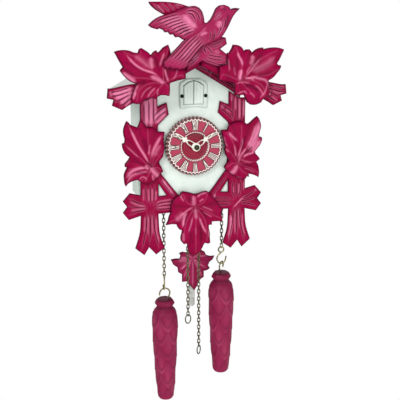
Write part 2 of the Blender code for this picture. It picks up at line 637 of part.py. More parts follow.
def build_chains():
    """Support bar, four runs, two pull rings, two hooks and two weights."""
    turned("chain_bar", [(1.0, 0), (1.0, 83.0)], (-41.5, CHAIN_Y, CHAIN_BAR_Z), BRASS,
           0.4, 0.9, "X", 12)
    chain_run("chain_left_weight", LEFT_WEIGHT_X, -127.6)
    chain_run("chain_left_pull", LEFT_PULL_X, -170.2)
    chain_run("chain_right_pull", RIGHT_PULL_X, -204.6)
    chain_run("chain_right_weight", RIGHT_WEIGHT_X, -102.8)

    for name, x, top, turn in (("pull_ring_left", LEFT_PULL_X, -170.6, 10),
                               ("pull_ring_right", RIGHT_PULL_X, -205.0, 55)):
        angle = math.radians(turn)
        path = []
        for i in range(24):
            along = math.tau * i / 24
            side = 2.9 * math.cos(along)
            path.append((x + side * math.cos(angle), CHAIN_Y + side * math.sin(angle),
                         top - 5.2 + 4.5 * math.sin(along)))
        wire(name, path, 0.7, BRASS, (x, CHAIN_Y, CHAIN_BAR_Z), closed=True)

    hook = [(0, -128.0), (0, -130.0), (-2.4, -132.5), (-2.4, -139.0)]
    low = WEIGHT_TOP_LEFT + EYE_RISE - 1.5
    hook += [(2.4 * math.cos(math.radians(a)), low + 2.4 + 2.4 * math.sin(math.radians(a)))
             for a in range(200, 361, 20)]
    hook += [(2.4, low + 6.5), (3.2, low + 8.0)]
    path = [(LEFT_WEIGHT_X, CHAIN_Y + y, z) for y, z in hook]
    wire("hook_left", path, WIRE, BRASS, (LEFT_WEIGHT_X, CHAIN_Y, CHAIN_BAR_Z))

    low = WEIGHT_TOP_RIGHT + EYE_RISE - 1.5
    path = arc((0, -106.4), 2.8, -20, 235, 14)
    path += [(-3.0, -110.3), (-4.1, low + 6.6), (-4.3, low + 4.3)]
    path += arc((0.2, low + 4.5), 4.5, 200, 350, 10)
    path += [(5.0, low + 5.6)]
    path = [(RIGHT_WEIGHT_X + x, CHAIN_Y, z) for x, z in path]
    wire("hook_right", path, WIRE, BRASS, (RIGHT_WEIGHT_X, CHAIN_Y, CHAIN_BAR_Z))

    weight("weight_left", LEFT_WEIGHT_X, WEIGHT_TOP_LEFT, 0)
    weight("weight_right", RIGHT_WEIGHT_X, WEIGHT_TOP_RIGHT, 50)


def main():
    """Build every sub-part."""
    clear_scene()
    build_case()
    build_roof()
    build_hanger()
    build_side_frames()
    build_leaves()
    build_roof_twigs()
    build_bird()
    build_dial()
    build_hands()
    build_movement()
    build_battery_door()
    build_chime_switch()
    build_cuckoo()
    build_pendulum()
    build_chains()
    apply_cuts()


main()
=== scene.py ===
"""Cerise cuckoo clock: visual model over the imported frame.

Sizes inside the carving, dial, chain and weight functions are millimetres;
MM turns them into the frame's metres.
"""
import math

import bmesh
import bpy
import numpy as np
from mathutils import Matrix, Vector
from mathutils.geometry import delaunay_2d_cdt


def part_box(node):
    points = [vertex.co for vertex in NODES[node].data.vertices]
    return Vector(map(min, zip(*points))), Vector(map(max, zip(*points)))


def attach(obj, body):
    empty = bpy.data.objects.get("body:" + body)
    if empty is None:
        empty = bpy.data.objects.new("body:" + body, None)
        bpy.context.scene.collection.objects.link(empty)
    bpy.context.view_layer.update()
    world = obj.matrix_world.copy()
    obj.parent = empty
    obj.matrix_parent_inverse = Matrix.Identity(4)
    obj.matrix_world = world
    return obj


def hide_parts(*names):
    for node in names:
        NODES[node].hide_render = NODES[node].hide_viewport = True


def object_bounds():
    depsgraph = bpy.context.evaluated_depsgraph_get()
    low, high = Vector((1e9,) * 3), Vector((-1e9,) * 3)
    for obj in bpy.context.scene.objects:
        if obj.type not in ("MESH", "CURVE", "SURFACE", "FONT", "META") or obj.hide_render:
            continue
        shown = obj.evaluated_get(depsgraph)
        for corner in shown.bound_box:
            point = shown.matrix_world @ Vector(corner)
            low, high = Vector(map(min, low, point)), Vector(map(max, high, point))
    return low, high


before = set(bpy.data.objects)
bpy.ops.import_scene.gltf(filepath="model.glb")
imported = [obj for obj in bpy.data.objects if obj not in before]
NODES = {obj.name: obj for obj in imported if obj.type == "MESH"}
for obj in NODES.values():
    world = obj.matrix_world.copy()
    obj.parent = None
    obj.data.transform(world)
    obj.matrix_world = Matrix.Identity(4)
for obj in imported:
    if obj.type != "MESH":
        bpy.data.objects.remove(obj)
CAD_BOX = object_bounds()
MM = 0.001
SHARP_DEGREES = 50             # edges sharper than this stay crisp


# Camera and stage -----------------------------------------------------------

CAMERA_PLACE = Vector((-0.1719, -0.6812, 0.1079))
CAMERA_AIM = Vector((0.0050, -0.0730, -0.0509))
CAMERA_LENS = 63.0
MIDDLE = (0.0, -0.06, -0.05)
FLOOR_DROP = 0.12              # floor below the lowest weight
FLOOR_HALF_WIDTH = 1.0
FLOOR_NEAR, FLOOR_FAR = -1.5, -0.03
SURROUND_LIGHT = 0.56          # strength of the white surroundings as a lamp
LAMPS = (                      # name, place, size, power
    ("key", (-0.65, -0.85, 0.50), (0.35, 0.35), 6.4),
    ("fill", (0.35, -1.1, -0.05), (0.8, 0.8), 4.8),
    ("rim", (0.2, 0.6, 0.7), (0.8, 0.4), 4.0),
)


def make_camera():
    """Camera to the left of and above the dial, aimed a little below it."""
    data = bpy.data.cameras.new("camera")
    data.lens = CAMERA_LENS
    data.sensor_width = 36.0
    data.clip_start = 0.01
    camera = bpy.data.objects.new("camera", data)
    camera.location = CAMERA_PLACE
    camera.rotation_euler = (CAMERA_AIM - CAMERA_PLACE).to_track_quat("-Z", "Y").to_euler()
    bpy.context.scene.collection.objects.link(camera)
    bpy.context.scene.camera = camera


def area_light(name, place, size, power):
    """Soft rectangular lamp aimed at the middle of the clock."""
    data = bpy.data.lights.new(name, "AREA")
    data.shape = "RECTANGLE"
    data.size, data.size_y = size
    data.energy = power
    lamp = bpy.data.objects.new(name, data)
    lamp.location = place
    lamp.rotation_euler = (Vector(MIDDLE) - Vector(place)).to_track_quat("-Z", "Y").to_euler()
    bpy.context.scene.collection.objects.link(lamp)


def make_stage():
    """Pale floor well below the hanging clock, white surroundings and soft lamps."""
    half = FLOOR_HALF_WIDTH
    low = CAD_BOX[0][2] - FLOOR_DROP
    corners = [(-half, FLOOR_NEAR, low), (half, FLOOR_NEAR, low), (half, FLOOR_FAR, low),
               (-half, FLOOR_FAR, low)]
    floor = mesh_object("floor", corners, [(0, 1, 2, 3)], scale=1.0)
    material = Nodes("floor_pale")
    set_material(floor, material.finish((0.85, 0.85, 0.85), 0.95, specular=0.0))

    world = bpy.data.worlds.new("studio")
    world.use_nodes = True
    tree = world.node_tree
    background = tree.nodes["Background"]
    background.inputs["Color"].default_value = (1, 1, 1, 1)
    path = tree.nodes.new("ShaderNodeLightPath")
    level = tree.nodes.new("ShaderNodeMapRange")
    level.inputs["To Min"].default_value = SURROUND_LIGHT
    level.inputs["To Max"].default_value = 1.0
    tree.links.new(path.outputs["Is Camera Ray"], level.inputs["Value"])
    tree.links.new(level.outputs["Result"], background.inputs["Strength"])
    bpy.context.scene.world = world
    for lamp in LAMPS:
        area_light(*lamp)
    bpy.context.scene.view_settings.view_transform = "Standard"


# Mesh helpers ---------------------------------------------------------------

def mesh_object(name, points, faces, smooth=False, scale=MM):
    """Object from points, in millimetres unless scale says otherwise, and face index lists."""
    mesh = bpy.data.meshes.new(name)
    places = np.asarray(points, float) * scale
    mesh.from_pydata([tuple(p) for p in places], [], [tuple(map(int, f)) for f in faces])
    mesh.update()
    bm = bmesh.new()
    bm.from_mesh(mesh)
    bmesh.ops.recalc_face_normals(bm, faces=bm.faces)
    for edge in bm.edges:
        if smooth and len(edge.link_faces) == 2:
            edge.smooth = edge.calc_face_angle(0.0) < math.radians(SHARP_DEGREES)
    bm.to_mesh(mesh)
    bm.free()
    for polygon in mesh.polygons:
        polygon.use_smooth = smooth
    obj = bpy.data.objects.new(name, mesh)
    bpy.context.scene.collection.objects.link(obj)
    return obj


def merged(shapes):
    """One list of points and faces from several (points, faces) shapes."""
    points, faces = [], []
    for shape_points, shape_faces in shapes:
        base = len(points)
        points.extend(tuple(p) for p in shape_points)
        faces.extend(tuple(base + int(i) for i in f) for f in shape_faces)
    return points, faces


def piece(name, body, material, shapes, node=None, smooth=True):
    """Piece of closed shapes, riding on a body, in place of a CAD node when one is named."""
    obj = mesh_object(name, *merged(shapes), smooth=smooth)
    set_material(obj, material)
    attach(obj, body)
    if node:
        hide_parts(node)


def set_material(obj, material):
    """Give the object a single material in its own slot."""
    obj.data.materials.clear()
    obj.data.materials.append(material)


def dress(material, *names):
    """New finish for CAD nodes that stay visible."""
    for name in names:
        obj = NODES[name]
        if not obj.data.materials:
            obj.data.materials.append(material)
        for slot in obj.material_slots:
            slot.link = "OBJECT"
            slot.material = material


def soften(width_mm, *names):
    """Rounded edges on CAD nodes that stay visible."""
    for name in names:
        weld = NODES[name].modifiers.new("weld", "WELD")
        weld.merge_threshold = 1e-6
        modifier = NODES[name].modifiers.new("round_edges", "BEVEL")
        modifier.width = width_mm * MM
        modifier.segments = 2
        modifier.limit_method = "ANGLE"
        modifier.angle_limit = math.radians(35)


def paint(obj, name, colors):
    """Point colour attribute from one row of values for each vertex."""
    attribute = obj.data.color_attributes.new(name, "FLOAT_COLOR", "POINT")
    values = np.ones((len(obj.data.vertices), 4))
    values[:, :colors.shape[1]] = colors
    attribute.data.foreach_set("color", values.ravel())


def ring_faces(rows, sides, closed=False):
    """Faces between rows of points, each row a ring of as many sides."""
    faces = []
    for row in range(rows if closed else rows - 1):
        low, high = row * sides, (row + 1) % rows * sides
        for i in range(sides):
            j = (i + 1) % sides
            faces.append((low + i, low + j, high + j, high + i))
    return faces


def capped_rings(rows, sides):
    """Ring faces closed by a face at each end."""
    last = (rows - 1) * sides
    return ring_faces(rows, sides) + [tuple(range(sides))[::-1], tuple(range(last, last + sides))]


def tube(path, radius, sides=10, closed=False):
    """Round wire along millimetre points."""
    path = np.array(path, float)
    count = len(path)
    points = []
    side = None
    for i, place in enumerate(path):
        before = path[i - 1] if (i > 0 or closed) else place
        after = path[(i + 1) % count] if (i < count - 1 or closed) else place
        along = (after - before) / np.linalg.norm(after - before)
        if side is None:
            side = np.cross(along, (0.31, 0.87, 0.38))
        side = side - along * side.dot(along)
        side /= np.linalg.norm(side)
        up = np.cross(along, side)
        for k in range(sides):
            angle = math.tau * k / sides
            points.append(place + radius * (side * math.cos(angle) + up * math.sin(angle)))
    return points, ring_faces(count, sides, True) if closed else capped_rings(count, sides)


def lathe(profile, base, axis="Z", steps=48, shape=None):
    """Closed turned solid. Profile is (radius, height); shape(angle, radius) can change a
    radius. The axis runs through base along +Z, +Y or +X."""
    points = []
    for radius, height in profile:
        for i in range(steps):
            angle = math.tau * i / steps
            r = shape(angle, radius) if shape else radius
            u, v = r * math.cos(angle), r * math.sin(angle)
            local = {"Z": (u, v, height), "Y": (u, height, v), "X": (height, u, v)}[axis]
            points.append(tuple(b + p for b, p in zip(base, local)))
    return points, capped_rings(len(profile), steps)


def turned_ring(profile):
    """Closed solid turned about the hand axis from a closed profile that keeps off it."""
    points, _ = lathe(profile, (0, 0, 0), "Y", 40)
    return points, ring_faces(len(profile), 40, True)


def rounded_profile(profile, step):
    """Profile with its straight runs cut into short steps, for reliefs and bends."""
    out = [profile[0]]
    for (r0, h0), (r1, h1) in zip(profile, profile[1:]):
        count = max(1, int(math.hypot(r1 - r0, h1 - h0) / step))
        out.extend((r0 + (r1 - r0) * i / count, h0 + (h1 - h0) * i / count)
                   for i in range(1, count + 1))
    return out


def prism(near, far):
    """Closed solid between two loops with the same number of points."""
    count = len(near)
    faces = [tuple(range(count)), tuple(range(2 * count - 1, count - 1, -1))]
    faces += [(i, (i + 1) % count, (i + 1) % count + count, i + count) for i in range(count)]
    return near + far, faces


def bar(corners, y_back, y_front):
    """Flat strip parallel to the wall: corners are (x, z)."""
    return prism([(x, y_back, z) for x, z in corners], [(x, y_front, z) for x, z in corners])


# Materials ------------------------------------------------------------------

class Nodes:
    """Short-hand for building a material's node tree."""

    def __init__(self, name):
        self.material = bpy.data.materials.new(name)
        self.material.use_nodes = True
        self.tree = self.material.node_tree
        self.shader = self.tree.nodes["Principled BSDF"]

    def add(self, kind, **values):
        node = self.tree.nodes.new(kind)
        for key, value in values.items():
            setattr(node, key, value)
        return node

    def link(self, source, target):
        self.tree.links.new(source, target)

    def feed(self, socket, value):
        """Set a socket from a number, a colour or another socket."""
        if isinstance(value, tuple):
            socket.default_value = (*value, 1)
        elif isinstance(value, (int, float)):
            socket.default_value = value
        else:
            self.link(value, socket)

    def coordinates(self, scale):
        """Object coordinates in millimetres, stretched."""
        texture = self.add("ShaderNodeTexCoord")
        mapping = self.add("ShaderNodeMapping")
        mapping.inputs["Scale"].default_value = [s / MM for s in scale]
        self.link(texture.outputs["Object"], mapping.inputs["Vector"])
        return mapping.outputs["Vector"]

    def noise(self, scale, detail):
        """Noise whose scale along X, Y and Z is in cycles for each millimetre."""
        node = self.add("ShaderNodeTexNoise")
        node.inputs["Scale"].default_value = 1.0
        node.inputs["Detail"].default_value = detail
        self.link(self.coordinates(scale), node.inputs["Vector"])
        return node.outputs["Fac"]

    def remap(self, value, low, high, new_low=0.0, new_high=1.0):
        node = self.add("ShaderNodeMapRange")
        for key, number in (("From Min", low), ("From Max", high),
                            ("To Min", new_low), ("To Max", new_high)):
            node.inputs[key].default_value = number
        self.link(value, node.inputs["Value"])
        return node.outputs["Result"]

    def math(self, operation, a, b):
        node = self.add("ShaderNodeMath", operation=operation)
        self.feed(node.inputs[0], a)
        self.feed(node.inputs[1], b)
        return node.outputs["Value"]

    def mix(self, factor, a, b):
        node = self.add("ShaderNodeMix", data_type="RGBA")
        for socket, value in zip((node.inputs[0], node.inputs[6], node.inputs[7]), (factor, a, b)):
            self.feed(socket, value)
        return node.outputs[2]

    def attribute(self, name):
        return self.add("ShaderNodeAttribute", attribute_name=name).outputs["Color"]

    def channels(self, name):
        split = self.add("ShaderNodeSeparateColor")
        self.link(self.attribute(name), split.inputs["Color"])
        return split.outputs

    def bump(self, height, strength, distance_mm):
        node = self.add("ShaderNodeBump")
        node.inputs["Strength"].default_value = strength
        node.inputs["Distance"].default_value = distance_mm * MM
        self.link(height, node.inputs["Height"])
        self.link(node.outputs["Normal"], self.shader.inputs["Normal"])

    def edge_wear(self, radius_mm):
        """1 along edges, 0 on the flats."""
        bevel = self.add("ShaderNodeBevel")
        bevel.inputs["Radius"].default_value = radius_mm * MM
        geometry = self.add("ShaderNodeNewGeometry")
        dot = self.add("ShaderNodeVectorMath", operation="DOT_PRODUCT")
        self.link(bevel.outputs["Normal"], dot.inputs[0])
        self.link(geometry.outputs["Normal"], dot.inputs[1])
        return self.remap(dot.outputs["Value"], 0.99, 0.85)

    def finish(self, color, roughness, metallic=0.0, specular=0.5):
        self.feed(self.shader.inputs["Base Color"], color)
        self.feed(self.shader.inputs["Roughness"], roughness)
        self.shader.inputs["Metallic"].default_value = metallic
        self.shader.inputs["Specular IOR Level"].default_value = specular
        return self.material


WINE = (0.055, 0.0008, 0.012)
CERISE = (0.235, 0.0005, 0.034)
CERISE_WARM = (0.30, 0.001, 0.049)
PINK = (0.76, 0.22, 0.38)
DUSTY = (0.36, 0.03, 0.11)


def stained_wood(name, lift=0.0):
    """Cerise stain with fine grain down the board, wine painted shade in the cuts, and pink on the
    crests, partly worn paint and partly painted highlight.
    """
    n = Nodes(name)
    carve = n.channels("carve")
    grain = n.noise((1.8, 1.8, 0.15), 5.0)
    cloud = n.noise((0.07, 0.07, 0.07), 2.0)
    body = n.mix(n.remap(cloud, 0.35, 0.65), CERISE, CERISE_WARM)
    body = n.mix(n.remap(grain, 0.5, 0.75, 0.0, 0.4), body, WINE)
    body = n.mix(lift, body, DUSTY)
    # Pink from the relief's first channel: painted highlight, partly pale worn paint.
    light = n.math("MULTIPLY", carve[0], n.remap(grain, 0.35, 0.7, 1.0, 0.7))
    body = n.mix(light, body, PINK)
    # Wine from the relief's second channel: painted shade in cuts, valleys and along edges, partly
    # the edges' dark stain.
    shade = n.math("MULTIPLY", carve[1], n.remap(grain, 0.3, 0.7, 0.85, 1.0))
    body = n.mix(shade, body, WINE)
    n.bump(grain, 0.3, 0.12)
    return n.finish(body, n.remap(grain, 0.3, 0.7, 0.30, 0.46), specular=0.05)


def satin_paint(name, color, shadow, roughness=0.42):
    """Brushed satin paint with cloudy tone, darker worn edges, and painted shade in the grooves and
    along the edges of its relief.
    """
    n = Nodes(name)
    carve = n.channels("carve")
    cloud = n.noise((0.09, 0.09, 0.09), 3.0)
    fine = n.noise((2.5, 2.5, 0.5), 4.0)
    body = n.mix(n.remap(cloud, 0.35, 0.65, 0.0, 0.22), color, shadow)
    body = n.mix(n.remap(fine, 0.55, 0.8, 0.0, 0.25), body, shadow)
    body = n.mix(n.math("MULTIPLY", n.edge_wear(0.5), 0.45), body, shadow)
    # Painted shade from the relief: grooves, channels and board edges.
    body = n.mix(n.math("MULTIPLY", carve[1], 0.8), body, shadow)
    n.bump(fine, 0.25, 0.08)
    return n.finish(body, n.remap(cloud, 0.3, 0.7, roughness - 0.05, roughness + 0.08),
                    specular=0.35)


def metal(name, color, patina, roughness):
    """Metal with a patchy patina and dull spots."""
    n = Nodes(name)
    patches = n.noise((0.35, 0.35, 0.35), 4.0)
    fine = n.noise((4.0, 4.0, 4.0), 3.0)
    body = n.mix(n.remap(patches, 0.4, 0.65), color, patina)
    body = n.mix(n.math("MULTIPLY", n.edge_wear(0.2), 0.4), body, color)
    n.bump(fine, 0.2, 0.03)
    return n.finish(body, n.remap(fine, 0.3, 0.7, roughness - 0.08, roughness + 0.12), 0.85)


def plastic(name, color, worn, roughness, grain=2.5, specular=0.5):
    """Moulded plastic with a fine texture and paler rubbed edges."""
    n = Nodes(name)
    texture = n.noise((grain, grain, grain), 3.0)
    cloud = n.noise((0.06, 0.06, 0.06), 2.0)
    body = n.mix(n.remap(cloud, 0.35, 0.65, 0.0, 0.5), color, worn)
    body = n.mix(n.math("MULTIPLY", n.edge_wear(0.3), 0.5), body, worn)
    n.bump(texture, 0.3, 0.06)
    return n.finish(body, n.remap(texture, 0.3, 0.7, roughness - 0.06, roughness + 0.1),
                    specular=specular)


def cone_plastic():
    """Satin cerise resin of the weights, paler with painted highlight along the scales and darker
    with painted shade beneath them and towards the top.
    """
    n = Nodes("cone_resin")
    carve = n.channels("carve")
    cloud = n.noise((0.06, 0.06, 0.06), 3.0)
    fine = n.noise((1.6, 1.6, 0.5), 4.0)
    body = n.mix(n.remap(cloud, 0.3, 0.7), (0.23, 0.006, 0.05), (0.28, 0.010, 0.065))
    body = n.mix(n.remap(fine, 0.5, 0.8, 0.0, 0.3), body, (0.13, 0.004, 0.03))
    # Painted highlight, then painted shade, from the scales' attribute.
    body = n.mix(carve[0], body, (0.50, 0.08, 0.18))
    body = n.mix(carve[1], body, (0.08, 0.002, 0.018))
    n.bump(fine, 0.3, 0.1)
    return n.finish(body, n.remap(fine, 0.3, 0.7, 0.42, 0.58), specular=0.16)


def printed(name, roughness):
    """Painted surface whose colours, with their painted shade and highlight, are in the tint
    attribute, with cloudy wear.
    """
    n = Nodes(name)
    cloud = n.noise((0.2, 0.2, 0.2), 3.0)
    fine = n.noise((3.0, 3.0, 3.0), 3.0)
    body = n.mix(n.remap(cloud, 0.35, 0.7, 0.0, 0.18), n.attribute("tint"), (0.12, 0.01, 0.02))
    n.bump(fine, 0.2, 0.05)
    return n.finish(body, n.remap(fine, 0.3, 0.7, roughness - 0.05, roughness + 0.1), specular=0.3)


def cell_jacket():
    """Battery wrapper: dark body, copper band at the positive end."""
    n = Nodes("cell_wrapper")
    place = n.add("ShaderNodeSeparateXYZ")
    n.link(n.coordinates((1, 1, 1)), place.inputs["Vector"])
    fine = n.noise((1.0, 4.0, 4.0), 3.0)
    band = n.math("GREATER_THAN", n.math("ABSOLUTE", place.outputs["X"], 0.0), 13.0)
    body = n.mix(band, (0.03, 0.03, 0.035), (0.55, 0.26, 0.1))
    body = n.mix(n.remap(fine, 0.5, 0.8, 0.0, 0.3), body, (0.2, 0.2, 0.2))
    n.bump(fine, 0.15, 0.04)
    return n.finish(body, n.remap(fine, 0.3, 0.7, 0.25, 0.4), 0.5)


# Carving --------------------------------------------------------------------

def node_outline(node):
    """Loops (x, z) of the node's rear face in millimetres, the largest first."""
    bm = bmesh.new()
    bm.from_mesh(NODES[node].data)
    bm.transform(NODES[node].matrix_world)
    bmesh.ops.remove_doubles(bm, verts=bm.verts, dist=1e-6)
    rear = max(v.co.y for v in bm.verts)
    flat = {f for f in bm.faces if all(abs(v.co.y - rear) < 1e-6 for v in f.verts)}
    links = {}
    for edge in bm.edges:
        if sum(f in flat for f in edge.link_faces) == 1:
            a, b = edge.verts
            links.setdefault(a.index, []).append(b.index)
            links.setdefault(b.index, []).append(a.index)
    places = {v.index: (v.co.x / MM, v.co.z / MM) for v in bm.verts if v.index in links}
    bm.free()
    loops = []
    left = set(links)
    while left:
        loop = [min(left)]
        while True:
            following = [i for i in links[loop[-1]] if i not in loop]
            if not following:
                break
            loop.append(following[0])
        left -= set(loop)
        loops.append(counter_clockwise([places[i] for i in loop]))
    loops.sort(key=lambda loop: -abs(area(loop)))
    return loops


def area(loop):
    """Signed area of an (x, z) loop."""
    points = np.array(loop)
    ahead = np.roll(points, -1, axis=0)
    return 0.5 * float(np.sum(points[:, 0] * ahead[:, 1] - ahead[:, 0] * points[:, 1]))


def counter_clockwise(loop):
    """The loop in positive order."""
    return loop if area(loop) > 0 else loop[::-1]


def spline(points, step=0.8):
    """Catmull-Rom curve through the points, sampled about every step millimetres."""
    pts = [np.array(p, float) for p in points]
    if len(pts) == 2:
        count = max(1, int(np.linalg.norm(pts[1] - pts[0]) / step))
        return [pts[0] + (pts[1] - pts[0]) * i / count for i in range(count + 1)]
    ends = [2 * pts[0] - pts[1]] + pts + [2 * pts[-1] - pts[-2]]
    out = []
    for p0, p1, p2, p3 in zip(ends, ends[1:], ends[2:], ends[3:]):
        count = max(1, int(np.linalg.norm(p2 - p1) / step))
        for i in range(count):
            t = i / count
            out.append(0.5 * (2 * p1 + (p2 - p0) * t + (2 * p0 - 5 * p1 + 4 * p2 - p3) * t * t
                              + (3 * p1 - p0 - 3 * p2 + p3) * t ** 3))
    out.append(pts[-1])
    return out


def smooth_loop(loop, corner_degrees):
    """Curve an outline between its sharp corners, which stay sharp."""
    count = len(loop)
    pts = [np.array(p) for p in loop]
    corners = []
    for i in range(count):
        into = pts[i] - pts[i - 1]
        away = pts[(i + 1) % count] - pts[i]
        turn = math.atan2(into[0] * away[1] - into[1] * away[0], float(into @ away))
        if abs(turn) > math.radians(corner_degrees):
            corners.append(i)
    if not corners:
        corners = [0]
    out = []
    for a, b in zip(corners, corners[1:] + [corners[0] + count]):
        run = [pts[i % count] for i in range(a, b + 1)]
        out.extend(spline(run)[:-1])
    return np.array(out)


def inside(points, loops):
    """Even-odd test of (x, z) points against closed loops."""
    hit = np.zeros(len(points), bool)
    for loop in loops:
        for (x0, z0), (x1, z1) in zip(loop, np.roll(loop, -1, axis=0)):
            if z0 == z1:
                continue
            crosses = (points[:, 1] < z0) != (points[:, 1] < z1)
            where = x0 + (points[:, 1] - z0) * (x1 - x0) / (z1 - z0)
            hit ^= crosses & (points[:, 0] < where)
    return hit


def line_distance(points, line):
    """Distance of points to a polyline, and how far along it they lie from 0 to 1."""
    line = np.array(line)
    starts, ends = line[:-1], line[1:]
    lengths = np.linalg.norm(ends - starts, axis=1)
    travelled = np.concatenate([[0], np.cumsum(lengths)])
    best = np.full(len(points), 1e9)
    along = np.zeros(len(points))
    for start, end, length, before in zip(starts, ends, lengths, travelled):
        if length == 0:
            continue
        t = np.clip(((points - start) @ (end - start)) / length ** 2, 0, 1)
        gap = np.linalg.norm(points - (start + t[:, None] * (end - start)), axis=1)
        nearer = gap < best
        best = np.where(nearer, gap, best)
        along = np.where(nearer, (before + t * length) / travelled[-1], along)
    return best, along


def edge_distance(points, loops):
    """Distance of points to the nearest outline."""
    away = np.full(len(points), 1e9)
    for loop in loops:
        gap, _ = line_distance(points, np.vstack([loop, loop[:1]]))
        away = np.minimum(away, gap)
    return away


def grid_points(loops, spacing):
    """Staggered grid inside the loops, kept clear of their edges."""
    low, high = loops[0].min(axis=0), loops[0].max(axis=0)
    found = []
    for index, z in enumerate(np.arange(low[1], high[1], spacing * 0.87)):
        xs = np.arange(low[0] + (index % 2) * spacing / 2, high[0], spacing)
        found.append(np.column_stack([xs, np.full(len(xs), z)]))
    points = np.vstack(found)
    points = points[inside(points, loops)]
    return points[edge_distance(points, loops) > spacing * 0.45]


def triangulated(loops, interior):
    """Points, triangles and the point that stands for each loop point."""
    flat = np.vstack([*loops, interior]) if len(interior) else np.vstack(loops)
    edges = []
    offset = 0
    for loop in loops:
        size = len(loop)
        edges.extend((offset + i, offset + (i + 1) % size) for i in range(size))
        offset += size
    result = delaunay_2d_cdt([Vector(p) for p in flat], edges, [], 0, 1e-6)
    points = np.array([tuple(p) for p in result[0]])
    triangles = np.array(result[2])
    triangles = triangles[inside(points[triangles].mean(axis=1), loops)]
    owner = {source: i for i, sources in enumerate(result[3]) for source in sources}
    return points, triangles, [owner[i] for i in range(offset)]


def fade(along, ends):
    """Strength of a stroke, full in its middle and thin at its ends."""
    return np.clip(np.sin(np.pi * np.clip(along, 0.03, 0.97)) * 1.6, ends, 1)


def relief(points, loops, thick, ribs=(), cuts=(), lights=(), darks=(), edge=0.45, depth=0.6,
           rounding=2.5, rib_power=0.9, crest=0.15, outline=1.0, channel=None):
    """Height from 0 to 1, pink light and wine shade at each point of a board's face.

    Ribs are crests with valleys between them, cuts are V-grooves (line, width, depth, pink
    lip), lights and darks are strokes of painted highlight and painted shade (line, width,
    strength), channel is a groove (distance from the edge, width, depth). The pink light is
    painted highlight, partly pale worn paint; the wine shade is painted shade in valleys,
    grooves and dark strokes and along the edges, where it is partly dark stain.
    (distance from the edge, width, depth).
    """
    away = edge_distance(points, loops)
    height = edge + (1 - edge) * depth * (1 - np.exp(-away / rounding))
    light = np.zeros(len(points))
    # Painted shade along the outline, partly the boards' dark-stained edges.
    shade = outline * np.exp(-(away / 0.75) ** 2)
    rise = 1 - np.exp(-away / 1.2)
    if ribs:
        gaps = np.array([line_distance(points, spline(rib, 1.2))[0] for rib in ribs])
        order = np.sort(gaps, axis=0)
        fold = (order[1] - order[0]) / (order[1] + order[0] + 1e-6)
        height += (1 - edge) * (1 - depth) * rise * fold ** rib_power
        # Painted highlight on the rib crests, partly pale worn paint, and painted shade in the
        # valleys between the ribs.
        light += crest * np.exp(-(order[0] / 0.5) ** 2) * rise
        shade += 0.35 * np.exp(-(fold / 0.15) ** 2) * rise
    if channel:
        place, width, sink = channel
        groove = np.clip(1 - abs(away - place) / width, 0, 1)
        height -= sink / thick * groove
        # Painted shade in the channel.
        shade += 0.8 * groove
    for line, width, sink, glow in cuts:
        gap, along = line_distance(points, spline(line, 1.0))
        taper = fade(along, 0.25)
        wide = width * taper
        groove = np.clip(1 - gap / wide, 0, 1)
        height -= sink / thick * groove * taper
        # Painted highlight on the cut's lip and painted shade in its groove.
        light += glow * np.exp(-((gap - wide) / (0.3 * width + 0.15)) ** 2) * taper
        shade += 0.95 * groove ** 0.8 * taper
    # Strokes of painted highlight, partly pale worn paint.
    for line, width, glow in lights:
        gap, along = line_distance(points, spline(line, 1.0))
        taper = fade(along, 0.15)
        light += glow * taper * np.exp(-(gap / (width * taper)) ** 2)
    # Strokes of painted shade.
    for line, width, strength in darks:
        gap, along = line_distance(points, spline(line, 1.0))
        taper = fade(along, 0.15)
        shade += strength * taper * np.exp(-(gap / (width * taper)) ** 2)
    return np.clip(height, 0.12, 1.0), np.clip(light, 0, 1), np.clip(shade, 0, 1)


def carved(name, node, loops, y_span, body, material, spacing=0.6, **style):
    """Board with a worked front face, straight sides and a flat back, in place of a node."""
    y_back, y_front = y_span
    thick = y_back - y_front
    loops = [np.array(loop) for loop in loops]
    points, triangles, rim = triangulated(loops, grid_points(loops, spacing))
    height, light, shade = relief(points, loops, thick, **style)
    rear, rear_triangles, rear_rim = triangulated(loops, [])
    count = len(points)
    front = np.column_stack([points[:, 0], y_back - height * thick, points[:, 1]])
    back = np.column_stack([rear[:, 0], np.full(len(rear), y_back), rear[:, 1]])
    faces = [tuple(t) for t in triangles] + [tuple(count + i for i in t) for t in rear_triangles]
    first = 0
    for loop in loops:
        size = len(loop)
        for i in range(size):
            a, b = first + i, first + (i + 1) % size
            faces.append((rim[a], rim[b], count + rear_rim[b], count + rear_rim[a]))
        first += size
    obj = mesh_object(name, np.vstack([front, back]), faces, smooth=True)
    # Painted highlight goes in the first channel and painted shade in the second; the back is set
    # to 0.9 shade, so the sides grade into painted shade, partly the edges' dark stain.
    colors = np.zeros((count + len(rear), 3))
    colors[:count, 0] = light
    colors[:count, 1] = shade
    colors[count:, 1] = 0.9
    paint(obj, "carve", colors)
    set_material(obj, material)
    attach(obj, body)
    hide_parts(node)


def span_of(node):
    """Rear and front planes of a node, in millimetres."""
    low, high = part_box(node)
    return high[1] / MM, low[1] / MM


def mirror_style(style):
    """Relief drawn for a right-hand board, reflected for the left."""
    out = dict(style)
    for key in ("ribs", "cuts", "lights", "darks"):
        if key == "ribs" and key in style:
            out[key] = [[(-x, z) for x, z in line] for line in style[key]]
        elif key in style:
            out[key] = [([(-x, z) for x, z in line], *rest) for line, *rest in style[key]]
    return out


def reflected(lines):
    """Each line reflected to the left, then as it is drawn."""
    return [[(sign * x, z) for x, z in line] for line in lines for sign in (-1, 1)]


def ribs_from(root, lines):
    """Ribs that spread from one root."""
    return [[root, *line] for line in lines]


def fan(first, last, count):
    """Strokes spread evenly between two strokes."""
    first, last = np.array(first, float), np.array(last, float)
    return [[tuple(p) for p in first + (last - first) * i / (count - 1)] for i in range(count)]


